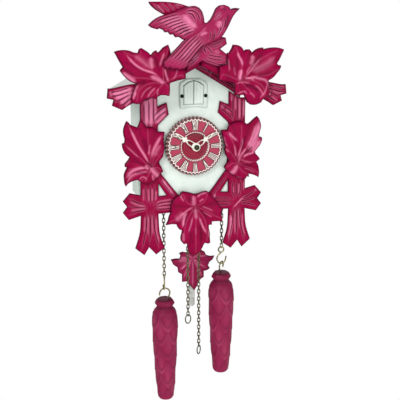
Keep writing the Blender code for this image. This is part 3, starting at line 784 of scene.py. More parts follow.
def carve_node(node, body, material, mirror=False, corner=27.0, shape=None, **style):
    """Relief board in place of a flat CAD board, on its outline or on a finer one."""
    outlines = node_outline(node)
    if shape:
        outlines[0] = [(-x, z) for x, z in shape] if mirror else shape
    if mirror:
        style = mirror_style(style)
    loops = [smooth_loop(counter_clockwise(loop), corner) for loop in outlines]
    carved(f"{node}_carving", node, loops, span_of(node), body, material, **style)


# Outlines and strokes of paired boards are drawn on the right; the left ones are reflected. Lights
# are strokes of painted highlight, partly pale worn paint; darks are strokes of painted shade.

TOP_LEFT_SHAPE = [
    (75.5, 86), (72.5, 87), (67.5, 87.5), (63, 87), (59, 85.5), (55.5, 85), (54.5, 88),
    (52.5, 89), (50, 87.5), (47, 85.5), (44.5, 83), (42.5, 85.5), (40, 87), (38.5, 85),
    (36.5, 86.5), (33.5, 89.5), (29.5, 91.5), (28, 87), (26.5, 79), (21.5, 74), (14.5, 71),
    (14.5, 63), (23.5, 61), (28.5, 59.5), (28.5, 53), (29, 48.5), (33.5, 49.5), (37, 49.5),
    (39.5, 48), (40, 46), (43.5, 47.5), (47, 47), (50.5, 46), (54, 43.5), (57, 42.5),
    (61.5, 43.5), (62.5, 46.5), (62, 49), (60, 53), (58.5, 57), (57.5, 59.5), (60.5, 60.5),
    (64.5, 63), (68, 66.5), (71, 70.5), (70, 72), (68.5, 73.5), (70, 76), (72, 79.5),
    (73.5, 82.5),
]
TOP_RIGHT_SHAPE = [
    (75.5, 86.5), (71, 88), (66.5, 88.5), (60.5, 88), (56, 87), (55.5, 88.5), (52, 88),
    (48.5, 86.5), (45.5, 84), (44.5, 85.5), (43, 87), (40, 87), (38, 85.5), (36.5, 88),
    (34, 90), (30.5, 91), (28, 91), (26.5, 87.5), (24.5, 84.5), (22.6, 84), (22.6, 74.9),
    (22, 74.8), (15.5, 72.9), (15, 67), (14.8, 61), (22.5, 59.5), (28.5, 58.5), (29.5, 57),
    (29.5, 52.5), (30, 48), (34.5, 47.5), (38.5, 48), (40.5, 44), (41.5, 41.5), (45, 39),
    (48, 38.7), (50.5, 39), (52.5, 39.7), (54.5, 40.5), (57.5, 44.5), (61.5, 46.5),
    (63, 50.5), (61.5, 56), (61.5, 60), (64.5, 61.5), (67, 63.5), (69.5, 66.5), (72, 69.5),
    (73, 72), (72.5, 73), (70.5, 73), (69, 74.5), (71.5, 78.5), (73.5, 82.5),
]
MIDDLE_LEFT_SHAPE = [
    (62.5, 25.5), (64, 22.5), (65.5, 18), (65.5, 13.5), (64.5, 9), (65, 6), (67, 5.5),
    (66.5, 1), (64, -4), (60.5, -7), (62, -9.5), (65, -13), (65, -15.5), (63, -16),
    (64.5, -19), (66, -22.5), (66, -27), (65.5, -31.5), (64.5, -33.5), (62.5, -31),
    (58.5, -29), (54, -28), (51, -30), (46.5, -32.5), (42.5, -32), (39, -30), (35, -27),
    (33, -24), (30, -21.5), (32, -16.5), (34.5, -13.5), (33, -11.5), (30, -8), (29, -3.5),
    (28.5, 1), (29, 7.5), (28.5, 13), (28, 14.5), (34.5, 15), (35.5, 16.5), (39.5, 19.5),
    (42.5, 19), (45.5, 20), (48.5, 25), (50.5, 25.5), (51.5, 22.5), (53, 19.5), (55.5, 20.5),
    (59, 22), (61, 24.5),
]
MIDDLE_RIGHT_SHAPE = [
    (60, 25.5), (56.5, 23), (52.5, 19.5), (50, 18.5), (47, 21), (43, 22), (37, 20.5),
    (32.5, 18.5), (31, 14), (25, 14), (26.5, 8.5), (28, 3), (29, -1), (28.5, -4.5), (29.5, -9),
    (32, -13), (33, -15), (30, -18), (28, -21), (30, -23.5), (33.5, -26.5), (38.5, -30),
    (43.5, -32.5), (47.5, -33), (50, -33), (50.5, -31), (53, -31.5), (52.5, -28.5),
    (56.5, -29.5), (60, -31), (62.5, -32.5), (63, -28), (62.5, -23.5), (61.5, -20),
    (60, -17.5), (62, -16), (63.5, -15), (61.5, -12), (59, -9.5), (58.5, -7.5), (61, -4.5),
    (63.5, -1.5), (65, 2), (65.5, 4.5), (64.5, 6), (62, 6.5), (63, 11.5), (64, 15.5),
    (63.5, 19), (62, 23),
]
BOTTOM_SHAPE = [
    (-1, -44.5), (-5, -43), (-9, -42), (-11.5, -41.5), (-13.5, -42.5), (-14.5, -44.5),
    (-18.5, -46.5), (-21.5, -50.5), (-23.5, -54), (-23, -60), (-25, -64.5), (-26, -68.5),
    (-28, -72.5), (-22.5, -72), (-18, -72.5), (-16.5, -76), (-15, -78), (-12.5, -78.5),
    (-13, -82), (-14, -86), (-13.5, -89.5), (-11, -92.5), (-8.5, -92), (-7.5, -93.5),
    (-7, -98), (-4.5, -102.5), (-1, -105), (3.5, -102.5), (6.5, -98.5), (8.5, -94.5),
    (9.5, -93), (13, -94), (15, -93), (14.5, -88), (14.5, -83.5), (13.5, -78.5), (13.5, -75.5),
    (16.5, -75.5), (16.5, -72.5), (21, -72.5), (27, -73), (26.5, -68.5), (25.5, -63.5),
    (27, -61.5), (24, -57.5), (21, -52.5), (17.5, -48.5), (14, -44.5), (11.5, -42.5),
    (7.5, -43), (2.5, -44.5),
]

TOP_RIBS = ribs_from((34, 60), [
    [(35, 72), (32, 82), (30, 89)],
    [(44, 70), (55, 80), (68, 86)],
    [(48, 64), (60, 65), (70, 70)],
    [(46, 60), (55, 55), (58, 45)],
    [(40, 54), (44, 50), (47, 45)],
    [(29, 55), (31, 50), (33, 49)],
    [(25, 64), (18, 66), (16, 62)],
])
TOP_RIGHT = {
    "shape": TOP_RIGHT_SHAPE,
    "ribs": TOP_RIBS,
    "lights": [
        ([(31, 86), (32, 82), (35, 77), (36, 72)], 0.8, 1.0),
        ([(35, 71), (34, 65), (33, 60)], 1.5, 0.95),
        ([(37, 63), (44, 62), (48, 60)], 0.7, 0.8),
        ([(38, 61), (45, 63), (51, 62), (58, 60), (61, 56), (62, 50)], 1.0, 0.8),
        ([(38, 62), (48, 75), (54, 81)], 0.6, 0.55),
        ([(39, 65), (42, 71), (48, 76)], 0.6, 0.5),
        ([(45.5, 83), (45, 78), (43, 73)], 1.6, 0.7),
        ([(60, 58), (57, 50), (52, 44)], 0.7, 0.5),
        ([(42, 68), (52, 71), (60, 75), (67, 82)], 2.8, 0.38),
        ([(47, 57), (52, 53), (57, 46)], 0.6, 0.55),
        ([(30, 58), (36, 59), (44, 58)], 0.6, 0.5),
        ([(31, 49), (38, 51), (41, 48)], 0.6, 0.6),
        ([(42, 50), (46, 48), (48, 45)], 0.6, 0.4),
        ([(22, 81), (24, 75), (24, 68)], 0.6, 0.5),
        ([(28, 73), (29, 68), (30, 64)], 0.6, 0.4),
    ],
    "darks": [
        ([(28, 84), (31, 76), (31, 66)], 1.1, 0.5),
        ([(42, 70), (50, 80), (56, 85)], 2.0, 0.5),
        ([(48, 64), (58, 66), (66, 69)], 1.2, 0.5),
        ([(36, 56), (44, 55), (52, 50)], 1.4, 0.6),
        ([(20, 70), (24, 60), (27, 52)], 2.4, 0.25),
    ],
}
TOP_LEFT = {
    "shape": TOP_LEFT_SHAPE,
    "ribs": TOP_RIBS,
    "lights": [
        ([(67, 85), (60, 77), (53, 72), (45, 69), (38, 66)], 0.8, 0.95),
        ([(47, 66), (41, 64), (36, 61), (32, 60)], 1.5, 0.9),
        ([(34, 73), (32, 66), (30, 60)], 0.7, 0.8),
        ([(56, 59), (59, 54), (59, 49)], 0.9, 0.8),
        ([(71, 70), (64, 65), (57, 60)], 1.6, 0.85),
        ([(41, 57), (46, 52), (49, 47)], 0.7, 0.55),
        ([(39, 56), (40, 52), (39, 49)], 0.6, 0.45),
        ([(44, 58), (51, 53), (55, 46)], 0.6, 0.4),
        ([(33, 86), (36, 79), (38, 73)], 0.8, 0.6),
        ([(44.5, 82), (45, 77), (44, 71)], 1.8, 0.75),
        ([(59, 56), (60, 50), (60.5, 46)], 0.8, 0.8),
        ([(60, 84), (52, 78), (46, 72)], 2.2, 0.3),
        ([(22, 72), (24, 66), (27, 62)], 0.6, 0.4),
    ],
    "darks": [
        ([(28, 84), (31, 76), (31, 66)], 1.3, 0.5),
        ([(42, 84), (39, 76), (36, 68)], 1.0, 0.4),
        ([(58, 66), (66, 71), (70, 76)], 1.6, 0.5),
        ([(48, 62), (55, 60), (62, 60)], 1.4, 0.6),
        ([(20, 66), (24, 58), (27, 52)], 2.4, 0.3),
    ],
}
MIDDLE_RIBS = ribs_from((41, -18), [
    [(48, -5), (56, 9), (61, 22)],
    [(50, -9), (58, -2), (64, 4)],
    [(50, -17), (58, -17), (62, -18)],
    [(50, -21), (58, -25), (63, -31)],
    [(45, -25), (50, -28), (50, -31)],
    [(39, -25), (36, -30), (37, -33)],
    [(36, -17), (33, -19), (30, -21)],
    [(36, -10), (32, -5), (29, -3)],
    [(38, -4), (34, 6), (29, 12)],
    [(43, -2), (44, 9), (44, 18)],
])
MIDDLE_RIGHT = {
    "shape": MIDDLE_RIGHT_SHAPE,
    "ribs": MIDDLE_RIBS,
    "lights": [
        ([(61.5, 22), (60.5, 13), (56.5, 3), (50, -7)], 3.2, 1.0),
        ([(63.5, 4), (60, -3), (54, -9)], 2.2, 0.85),
        ([(48, -5), (53, 4), (56, 12), (59, 20)], 0.8, 0.5),
        ([(41, -18), (43, -11), (46, -7), (50, -2)], 0.7, 0.8),
        ([(45, -12), (50, -9.5), (58, -8)], 0.9, 0.8),
        ([(31, 13), (35, 8), (41, 3)], 1.0, 0.8),
        ([(37, 1), (38, -4), (39, -12)], 0.7, 0.6),
        ([(45, 8), (45, 1), (43, -5), (40, -14)], 0.7, 0.75),
        ([(27, 9), (29, 2), (31, -2)], 0.6, 0.6),
        ([(29, -3), (32, -7)], 0.6, 0.5),
        ([(41, -18), (37, -25), (31, -29)], 1.9, 0.8),
        ([(43, -14), (49, -16), (55, -18)], 0.6, 0.35),
        ([(46, -22), (52, -24), (59, -28)], 0.6, 0.3),
        ([(36, -32), (41, -31), (46, -33)], 0.6, 0.4),
    ],
    "darks": [
        ([(56, -1), (50, -7), (46, -10)], 0.7, 0.8),
        ([(48, 10), (46, 2), (44, -6)], 1.8, 0.5),
        ([(44, -19), (50, -20), (56, -22)], 1.4, 0.5),
    ],
}
MIDDLE_LEFT = {
    "shape": MIDDLE_LEFT_SHAPE,
    "ribs": MIDDLE_RIBS,
    "lights": [
        ([(61, 22), (59, 17), (53, 4), (46, -8), (42, -16)], 0.9, 0.95),
        ([(43, -16), (38, -22), (33, -27)], 2.0, 0.85),
        ([(65, -26), (59, -19.5), (52, -17), (45, -17)], 1.3, 0.9),
        ([(64.5, -31), (60, -24), (52, -21), (42, -21)], 0.9, 0.6),
        ([(31, 13), (36, 5), (40, -3), (41, -10)], 1.1, 0.8),
        ([(42, 5), (43, 0), (44, -6)], 0.7, 0.6),
        ([(32, 4), (36, -2), (38, -8)], 1.8, 0.4),
        ([(41, -23), (39, -30)], 0.7, 0.6),
        ([(53, -29), (50, -25), (46, -27), (48, -30)], 0.6, 0.5),
        ([(47, -14), (44, -19)], 1.4, 0.8),
        ([(64, 4), (58, -2), (52, -8)], 0.6, 0.4),
    ],
    "darks": [
        ([(46, -10), (43, -14), (40, -18)], 0.45, 0.95),
        ([(48, 12), (46, 4), (45, -5)], 2.0, 0.45),
        ([(57, -21), (50, -21), (45, -23)], 0.8, 0.7),
        ([(58, -6), (52, -12), (46, -15)], 1.6, 0.4),
    ],
}
BOTTOM = {
    "shape": BOTTOM_SHAPE,
    "ribs": ribs_from((0, -56), [[(0, -75), (0, -100)], [(0, -50), (0, -45)]] + reflected([
        [(8, -68), (11, -80), (11, -90)],
        [(10, -61), (18, -66), (26, -70)],
        [(8, -52), (12, -44)],
    ])),
    "lights": [
        ([(-2, -45), (-2, -52), (-1, -56)], 1.5, 0.7),
        ([(0, -57), (0, -62), (1, -69)], 1.8, 0.55),
        ([(-2, -56), (-8, -59), (-15, -64)], 0.6, 0.6),
        ([(-8, -60), (-11, -66), (-12, -72), (-13, -76)], 1.1, 0.95),
        ([(-10, -61), (-15, -65), (-20, -69)], 2.6, 0.45),
        ([(-3, -65), (-4, -71), (-7, -82)], 0.6, 0.8),
        ([(3, -65), (6, -74), (11, -84)], 0.8, 0.85),
        ([(5, -56), (10, -58), (18, -62)], 0.6, 0.45),
        ([(6, -61), (12, -65), (17, -68)], 0.6, 0.4),
        ([(1, -48), (5, -45), (12, -43)], 0.9, 0.7),
        ([(3, -52), (8, -49)], 0.6, 0.6),
        ([(-13, -43), (-14, -46), (-11, -51)], 0.7, 0.5),
        ([(-12, -80), (-12, -90)], 0.9, 0.5),
        ([(13, -78), (13, -88)], 0.6, 0.6),
        ([(0, -76), (0, -84)], 0.6, 0.3),
    ],
    "darks": [
        ([(-5, -46), (-6, -52)], 2.4, 0.45),
        ([(-7, -62), (-10, -69), (-11, -76)], 0.6, 0.7),
        ([(3, -72), (5, -82), (5, -92)], 1.8, 0.35),
        ([(-3, -78), (-4, -86), (-3, -94)], 1.8, 0.35),
        ([(12, -70), (8, -64), (4, -60)], 1.2, 0.45),
    ],
}
POST_CUTS = [
    ([(37.4, 47), (37.4, 20)], 0.8, 0.9, 0.35),
    ([(41.6, 45), (41.6, 20)], 0.8, 0.9, 0.35),
    ([(46, 42), (46, 21)], 0.8, 0.9, 0.35),
    ([(24, 34), (32, 28.5), (38, 22)], 0.8, 0.8, 0.3),
    ([(25, 38), (34, 32), (38, 27)], 0.8, 0.8, 0.3),
    ([(37.5, -34), (38, -44), (39, -53)], 0.7, 0.7, 0.3),
    ([(41.5, -34), (41.5, -53)], 0.7, 0.7, 0.3),
    ([(46, -34), (45.5, -44), (44, -52)], 0.7, 0.7, 0.3),
    ([(62, -45), (55, -49.5), (45, -53.5)], 0.8, 0.8, 0.3),
    ([(63, -52.5), (54, -54.5), (44, -55.5)], 0.7, 0.7, 0.3),
    ([(62, -61.5), (55, -58.5), (45, -57)], 0.8, 0.8, 0.3),
    ([(39, -53.5), (32, -51.5), (15, -50.5)], 0.7, 0.7, 0.3),
    ([(38, -55.5), (30, -54.5), (14, -54.3)], 0.7, 0.7, 0.3),
    ([(39, -57), (30, -57.8), (14, -58)], 0.7, 0.7, 0.3),
    ([(45, -59), (46, -75), (50.5, -96)], 0.8, 0.9, 0.3),
    ([(42, -59), (42, -78), (43.4, -91)], 0.8, 0.9, 0.3),
    ([(39, -59), (38, -76), (34, -96)], 0.8, 0.9, 0.3),
    ([(33, -29), (25, -39), (17, -49)], 0.7, 0.6, 0.3),
]
FRAME_RIGHT = {
    "cuts": POST_CUTS,
    "lights": [
        ([(36, 48), (36, 39)], 0.8, 0.5),
        ([(39.6, 46), (39.8, 30)], 0.6, 0.7),
        ([(43.7, 46), (43.9, 20)], 0.7, 0.85),
        ([(48, 43), (48, 23)], 0.7, 0.85),
        ([(30, 33), (35, 29)], 0.6, 0.5),
        ([(26, 37), (28, 33)], 1.6, 0.35),
        ([(38, -40), (39, -47)], 0.6, 0.5),
        ([(44, -37), (44, -49)], 0.6, 0.6),
        ([(49, -35), (49, -46)], 0.6, 0.6),
        ([(38, -62), (45, -55), (51, -49.5)], 0.6, 0.9),
        ([(36, -66), (36.5, -79), (34, -93)], 1.3, 0.8),
        ([(40.5, -62), (40.5, -90)], 0.5, 0.6),
        ([(44, -60), (45, -85)], 0.5, 0.6),
        ([(48, -64), (48.5, -80), (52, -92)], 0.6, 0.5),
        ([(60, -44), (62, -47)], 0.6, 0.4),
        ([(21, -46), (18, -53)], 0.9, 0.75),
    ],
    "darks": [([(67, -50), (62, -54), (67, -58)], 1.5, 0.5)],
}
FRAME_LEFT = {
    "cuts": POST_CUTS,
    "lights": [
        ([(44, 49), (44, 17)], 1.9, 1.0),
        ([(39.6, 50), (39.8, 16)], 1.9, 1.0),
        ([(35.6, 49), (35.4, 20)], 1.2, 0.9),
        ([(48.4, 42), (48.4, 24)], 0.6, 0.35),
        ([(36, 27), (25, 36)], 1.7, 1.0),
        ([(36, 21), (25, 31.5)], 1.4, 0.9),
        ([(48, -36), (48, -50)], 0.8, 0.35),
        ([(43.6, -36), (43, -51)], 0.7, 0.45),
        ([(39.6, -36), (40, -51)], 0.7, 0.5),
        ([(36, -39), (36.6, -50)], 0.7, 0.5),
        ([(62, -48), (54, -52), (45, -54.5)], 0.8, 0.45),
        ([(62, -57), (54, -56.5), (45, -56)], 0.8, 0.45),
        ([(38, -52.6), (32, -50), (20, -49)], 0.6, 0.5),
        ([(38, -54.8), (30, -53), (18, -52.6)], 0.6, 0.5),
        ([(38, -56.4), (30, -56), (18, -56.2)], 0.6, 0.5),
        ([(47, -62), (48, -80)], 0.8, 0.4),
        ([(44, -60), (44.5, -84)], 0.6, 0.5),
        ([(40.4, -60), (40, -84)], 0.6, 0.5),
        ([(36.5, -62), (36, -80), (33, -92)], 0.8, 0.5),
        ([(31, -28), (26, -36), (19, -46)], 1.0, 0.9),
    ],
    "darks": [([(49.5, 40), (49.6, 22)], 1.0, 0.5)],
}
TWIG_CUTS = [
    ([(81, 52.5), (72, 53.5), (60, 57)], 0.8, 0.9, 0.3),
    ([(81, 49), (72, 50), (60, 54)], 0.8, 0.9, 0.3),
    ([(76, 44), (69, 47), (61, 51)], 0.8, 0.9, 0.3),
    ([(72, 40), (67, 43), (61, 48)], 0.8, 0.9, 0.3),
]
TWIG_RIGHT = {
    "cuts": TWIG_CUTS,
    "lights": [
        ([(63, 53), (64.5, 46)], 1.3, 0.7),
        ([(66, 55), (74, 53), (80, 54)], 0.6, 0.5),
        ([(66, 51), (73, 48), (79, 49)], 0.6, 0.45),
        ([(66, 46), (70, 43), (73, 41)], 0.6, 0.4),
    ],
}
TWIG_LEFT = {
    "cuts": TWIG_CUTS,
    "lights": [
        ([(79, 50.5), (58, 56)], 1.6, 1.0),
        ([(77, 46.5), (58, 53)], 1.5, 1.0),
        ([(72, 42.5), (59, 50.5)], 1.4, 1.0),
        ([(67, 40), (61, 46)], 0.8, 0.8),
        ([(79, 54), (78, 48)], 1.0, 0.4),
    ],
}
TRIM = {
    "cuts": [
        ([(4, 75), (10.5, 72), (15.5, 65.5), (15, 62)], 0.8, 0.9, 0.7),
        ([(4.5, 71), (9, 69.5), (12.8, 66)], 0.7, 0.8, 0.6),
        ([(18, 62.5), (31, 55.2), (44, 48)], 0.7, 0.6, 0.3),
    ],
    "darks": [([(16, 66), (30, 59), (44, 50)], 3.0, 0.6)],
}
PERCH_SHAPE = [
    (0, 77.6), (7, 74.6), (13.8, 72.8), (22, 75.2), (22.3, 83), (16.2, 87.6), (22.2, 91.7),
    (21, 97.1), (17, 97.6), (8, 97), (-2, 96), (-12, 88), (-15.5, 80), (-13.9, 73.5),
    (-13.8, 69),
]
BIRD_SHAPE = [
    (31.5, 121), (27, 121.5), (23.5, 120.5), (21.5, 122.5), (17.5, 124), (13.5, 123.5),
    (10.5, 121), (8.5, 117), (6, 112.5), (3, 109.5), (0.5, 109), (-3.5, 106.5), (-11, 99.5),
    (-17.5, 95), (-23, 89.5), (-29, 83.5), (-35.5, 77.5), (-35, 75), (-36, 74), (-33, 72.8),
    (-33, 71.5), (-29.5, 72.5), (-28, 71), (-24, 72), (-22, 70.8), (-16.5, 72), (-14, 75),
    (-8.5, 82), (-3, 88), (1.5, 91), (6, 92.5), (12.5, 95.5), (16, 98),
    (19.5, 103), (22, 107.5), (25, 113.5), (27.5, 117), (30, 119.5),
]
WING_SHAPE = [
    (0.5, 110), (0, 114), (-1.5, 118.5), (-4, 121.5), (-8, 123), (-12.5, 122.5), (-18.5, 121),
    (-28, 117.5), (-37.5, 114.5), (-43, 111.5), (-47.5, 107.5), (-45, 105.5), (-40, 104),
    (-38, 104.8), (-35, 103.5), (-33.5, 101.5), (-31, 101.8), (-29, 99.6), (-26.5, 100),
    (-24.5, 97.5), (-21.5, 97.8), (-18, 95.5), (-11, 96), (-3, 100), (2, 104.5), (2.5, 108),
]
FAR_WING_SHAPE = [
    (-46.4, 126), (-40.5, 126.1), (-31.5, 126), (-22, 125), (-12.5, 122.5), (-19.5, 118.5),
    (-31.5, 115.2), (-35, 116.5), (-41, 120), (-45, 123.5),
]
WING_NEAR = {
    "shape": WING_SHAPE,
    "cuts": [
        ([(-1.5, 111), (-3.4, 119), (-9, 121.6), (-14, 120.5)], 0.7, 0.6, 0.5),
        ([(-3.6, 109), (-6, 116), (-11, 119), (-18, 118)], 0.9, 0.8, 0.55),
        ([(-7.5, 110.5), (-11, 116), (-16, 117)], 0.9, 0.8, 0.6),
    ] + [(line, 0.75, 0.9, 0.45) for line in fan(
        [(-45, 108), (-36, 112.5), (-20, 117)], [(-20, 97), (-15, 100.5), (-8.5, 103)], 8)],
    "lights": [(line, 0.8, 0.6) for line in fan(
        [(-40, 109), (-30, 112.5), (-17, 115)], [(-21, 99), (-16, 102), (-8, 104.5)], 7)] + [
        ([(-20, 116.5), (-15.5, 112.5), (-11, 108), (-6, 105)], 2.3, 0.9),
    ],
    "darks": [([(-24, 104), (-18, 104), (-13, 101)], 2.4, 0.35)],
    "edge": 0.25,
}
WING_FAR = {
    "shape": FAR_WING_SHAPE,
    "cuts": [
        ([(-43, 124.6), (-36, 118.5), (-34, 116.5)], 0.6, 0.6, 0.5),
        ([(-37, 125.2), (-32, 121), (-29, 117.9)], 0.6, 0.6, 0.5),
        ([(-31, 125), (-27, 121.5), (-24.7, 119.2)], 0.6, 0.6, 0.5),
        ([(-25.6, 124.5), (-22.6, 122.4), (-20.7, 120.8)], 0.6, 0.6, 0.5),
    ],
    "lights": [([(-40, 124), (-33, 117)], 1.0, 0.3), ([(-24, 124.6), (-17, 122.6)], 0.5, 0.5)],
}
BIRD = {
    "shape": BIRD_SHAPE,
    "cuts": [
        ([(8.3, 111.6), (12.3, 114.1), (15, 116)], 0.6, 0.5, 0.7),
        ([(9.6, 114.7), (12.3, 116.6), (14.6, 117.4)], 0.6, 0.5, 0.6),
        ([(16.3, 113), (15.7, 106.7), (12.4, 100)], 0.6, 0.6, 0.6),
        ([(14.3, 109.2), (13.7, 103), (10.4, 97)], 0.6, 0.6, 0.6),
        ([(18.6, 114), (18.3, 108), (15.4, 101)], 0.6, 0.6, 0.4),
        ([(9, 104.2), (9, 98.6), (7, 95.4)], 0.6, 0.6, 0.5),
        ([(5.4, 103), (5.4, 98), (3.6, 94)], 0.6, 0.6, 0.4),
        ([(21.6, 121.6), (26, 120), (31, 120.4)], 0.5, 0.5, 0.2),
    ] + [(line, 0.8, 0.9, 0.5) for line in fan(
        [(-4, 104), (-15, 95), (-25, 85), (-34, 77)],
        [(3, 95), (-4, 88), (-11, 80), (-18, 73)], 6)],
    "lights": [
        ([(13.4, 111.5), (12.8, 108), (11.6, 105)], 2.2, 0.75),
        ([(-3.7, 98.6), (-1, 100.5), (3, 101.2)], 1.0, 0.7),
        ([(-6, 96), (-13, 87), (-21, 80)], 1.8, 0.4),
        ([(2, 106), (-4, 103), (-9, 99)], 2.4, 0.35),
        ([(14, 121), (17, 123)], 1.6, 0.3),
    ],
    "darks": [
        ([(19.5, 118), (20.5, 112), (18, 104)], 1.6, 0.55),
        ([(7, 101), (8, 97), (6, 94)], 2.0, 0.4),
        ([(-33, 74), (-25, 72)], 1.0, 0.4),
        ([(24, 121), (30, 120.6)], 1.2, 0.5),
    ],
    "edge": 0.5,
}
PERCH = {
    "shape": PERCH_SHAPE,
    "cuts": [
        ([(0.7, 89), (3.5, 84)], 0.9, 0.9, 0.6),
        ([(3.4, 90.4), (9.6, 83.4)], 0.9, 0.9, 0.6),
        ([(-3.3, 87), (-8.7, 81)], 0.7, 0.7, 0.5),
        ([(-2.6, 81), (-12.4, 73.6)], 0.7, 0.8, 0.5),
        ([(-0.6, 79.8), (14.5, 74.6), (21.5, 76)], 0.7, 0.8, 0.5),
        ([(2.1, 81.2), (12, 78.6), (21.6, 78)], 0.7, 0.8, 0.5),
        ([(3, 83.4), (12, 81.4), (20.6, 80.6)], 0.7, 0.8, 0.5),
        ([(6.2, 90), (19.8, 95.2)], 0.6, 0.7, 0.5),
        ([(7.5, 88.4), (18.5, 91.6)], 0.6, 0.7, 0.5),
        ([(-2, 84), (-11.4, 76.4)], 0.7, 0.7, 0.5),
    ],
    "lights": [([(10, 86), (16, 84)], 2.0, 0.35), ([(-4, 83), (-9, 78)], 1.2, 0.4)],
}
PENDULUM_SHAPE = [
    (-15.5, -118.5), (-10.5, -118), (-6.5, -118.5), (-5.5, -115.5), (-7, -112.5),
    (-3.5, -111.5), (0.5, -112.5), (4, -110.8), (9.5, -110.8), (13, -112), (16.5, -111.5),
    (19.5, -113.5), (21, -117), (25.5, -118.5), (29.5, -118.5), (28, -122), (24.5, -124.5),
    (23, -128), (25, -131), (22, -133), (18.5, -133.5), (18.5, -140), (15, -142),
    (12.5, -147), (8.5, -153.5), (4.5, -148), (1, -143), (-4, -143), (-4, -135),
    (-8, -132.5), (-8.5, -127.5), (-13, -124),
]
PENDULUM_RIBS = ribs_from((0, -118), [[(0, -132), (0, -151)]] + reflected([
    [(10, -117), (21, -118)],
    [(7, -125), (14, -130)],
    [(6, -130), (10, -140)],
    [(5, -115), (7, -112)],
]))
BIRD_EYE = (16.6, 120.0)       # x and z


def moved(style, distance):
    """Relief shifted along X."""
    out = {}
    for key, lines in style.items():
        if key == "ribs":
            out[key] = [[(x + distance, z) for x, z in line] for line in lines]
        else:
            out[key] = [([(x + distance, z) for x, z in line], *rest) for line, *rest in lines]
    return out


def build_carvings():
    """All carved boards, and the bird's eye."""
    wood = stained_wood("cerise_wood")
    worn = stained_wood("cerise_wood_dusty", lift=0.45)
    sides = (("right", False, TOP_RIGHT, MIDDLE_RIGHT, FRAME_RIGHT, TWIG_RIGHT),
             ("left", True, TOP_LEFT, MIDDLE_LEFT, FRAME_LEFT, TWIG_LEFT))
    for side, mirror, top, middle, post, twig in sides:
        carve_node(f"leaf_top_{side}", "case", wood, mirror, **top)
        carve_node(f"leaf_middle_{side}", "case", wood, mirror, **middle)
        carve_node(f"side_frame_{side}", "case", wood, mirror, **post)
        carve_node(f"roof_twig_{side}", "case", wood, mirror, **twig)
        carve_node(f"gable_trim_{side}", "case", wood, mirror, **TRIM)
    carve_node("leaf_bottom", "case", wood, **BOTTOM)
    carve_node("perch", "case", worn, **PERCH)
    carve_node("bird_body", "case", worn, spacing=0.5, **BIRD)
    carve_node("bird_wing_near", "case", worn, spacing=0.5, **WING_NEAR)
    carve_node("bird_wing_far", "case", wood, spacing=0.5, **WING_FAR)

    low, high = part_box("pendulum_rod")
    centre = (low[0] + high[0]) / 2 / MM
    # Pale strokes along the pendulum leaf's veins and two broad strokes are painted highlight.
    veins = {
        "ribs": PENDULUM_RIBS,
        "lights": [(rib, 0.7, 0.45) for rib in PENDULUM_RIBS]
        + [([(-16, -119), (-8, -120), (-3, -122)], 2.4, 0.5),
           ([(-12, -129), (-7, -124)], 1.0, 0.4)],
    }
    carve_node("pendulum_leaf", "pendulum", worn, shape=PENDULUM_SHAPE, **moved(veins, centre))

    low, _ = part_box("bird_body")
    front = low[1] / MM
    place = (BIRD_EYE[0], front, BIRD_EYE[1])
    eye = lathe([(0.3, 0.2), (1.25, 0.5), (1.5, 1.2), (1.5, 1.6)], place, "Y", 24)
    piece("bird_eye_ring", "case", worn, [eye])
    pupil = lathe([(0.1, 0.0), (0.55, 0.15), (0.75, 0.6), (0.75, 1.2)], place, "Y", 24)
    black = plastic("eye_black", (0.03, 0.003, 0.01), (0.1, 0.01, 0.03), 0.25)
    piece("bird_eye", "case", black, [pupil])


# Case -----------------------------------------------------------------------

MINT = (0.68, 0.76, 0.70)
MINT_SHADOW = (0.44, 0.52, 0.46)
ROOF_PALE = (0.56, 0.58, 0.55)
ROOF_SHADOW = (0.34, 0.35, 0.33)
SURROUND_SHAPE = [(-11.8, 34.2), (-6, 35.3), (0, 35.6), (6, 35.3), (11.8, 34.2), (12.9, 38),
                  (12.9, 55), (11.5, 57.8), (6.5, 60.8), (-6.5, 60.8), (-11.5, 57.8),
                  (-12.9, 55), (-12.9, 38)]
PANELS = ("front_panel", "side_left", "side_right", "back_panel", "floor_board")
DOOR_PINS = ((-11.1, 45.5), (11.1, 45.5))


def build_case():
    """Painted box, roof, door surround and doors with their pins."""
    white = satin_paint("case_paint", MINT, MINT_SHADOW)
    roof = satin_paint("roof_paint_pale", ROOF_PALE, ROOF_SHADOW, 0.5)
    dress(white, *PANELS)
    dress(roof, "roof_left", "roof_right")
    soften(0.5, *PANELS[1:], "roof_left", "roof_right")
    # The surround's channel, the doors' plank lines and their edges carry painted shade.
    carve_node("door_surround", "case", white, shape=SURROUND_SHAPE, spacing=0.7, edge=0.45,
               depth=1.0, rounding=0.5, channel=(1.5, 0.4, 0.3), outline=0.25)
    for side, sign in (("left", -1), ("right", 1)):
        planks = [([(sign * x, 37.5), (sign * x, 60)], 0.35, 0.35, 0.0) for x in (2.9, 5.9)]
        carve_node(f"door_{side}", f"door_{side[0]}", white, spacing=0.5, cuts=planks, edge=0.6,
                   depth=1.0, rounding=0.4, outline=0.3)
    black = plastic("pin_black", (0.002, 0.002, 0.003), (0.012, 0.012, 0.012), 0.5,
                    specular=0.1)
    pins = [lathe([(0.7, -71.6), (1.5, -71.3), (1.7, -70.6)], (x, 0, z), "Y", 20)
            for x, z in DOOR_PINS]
    piece("door_pins", "case", black, pins)


# Dial and hands -------------------------------------------------------------

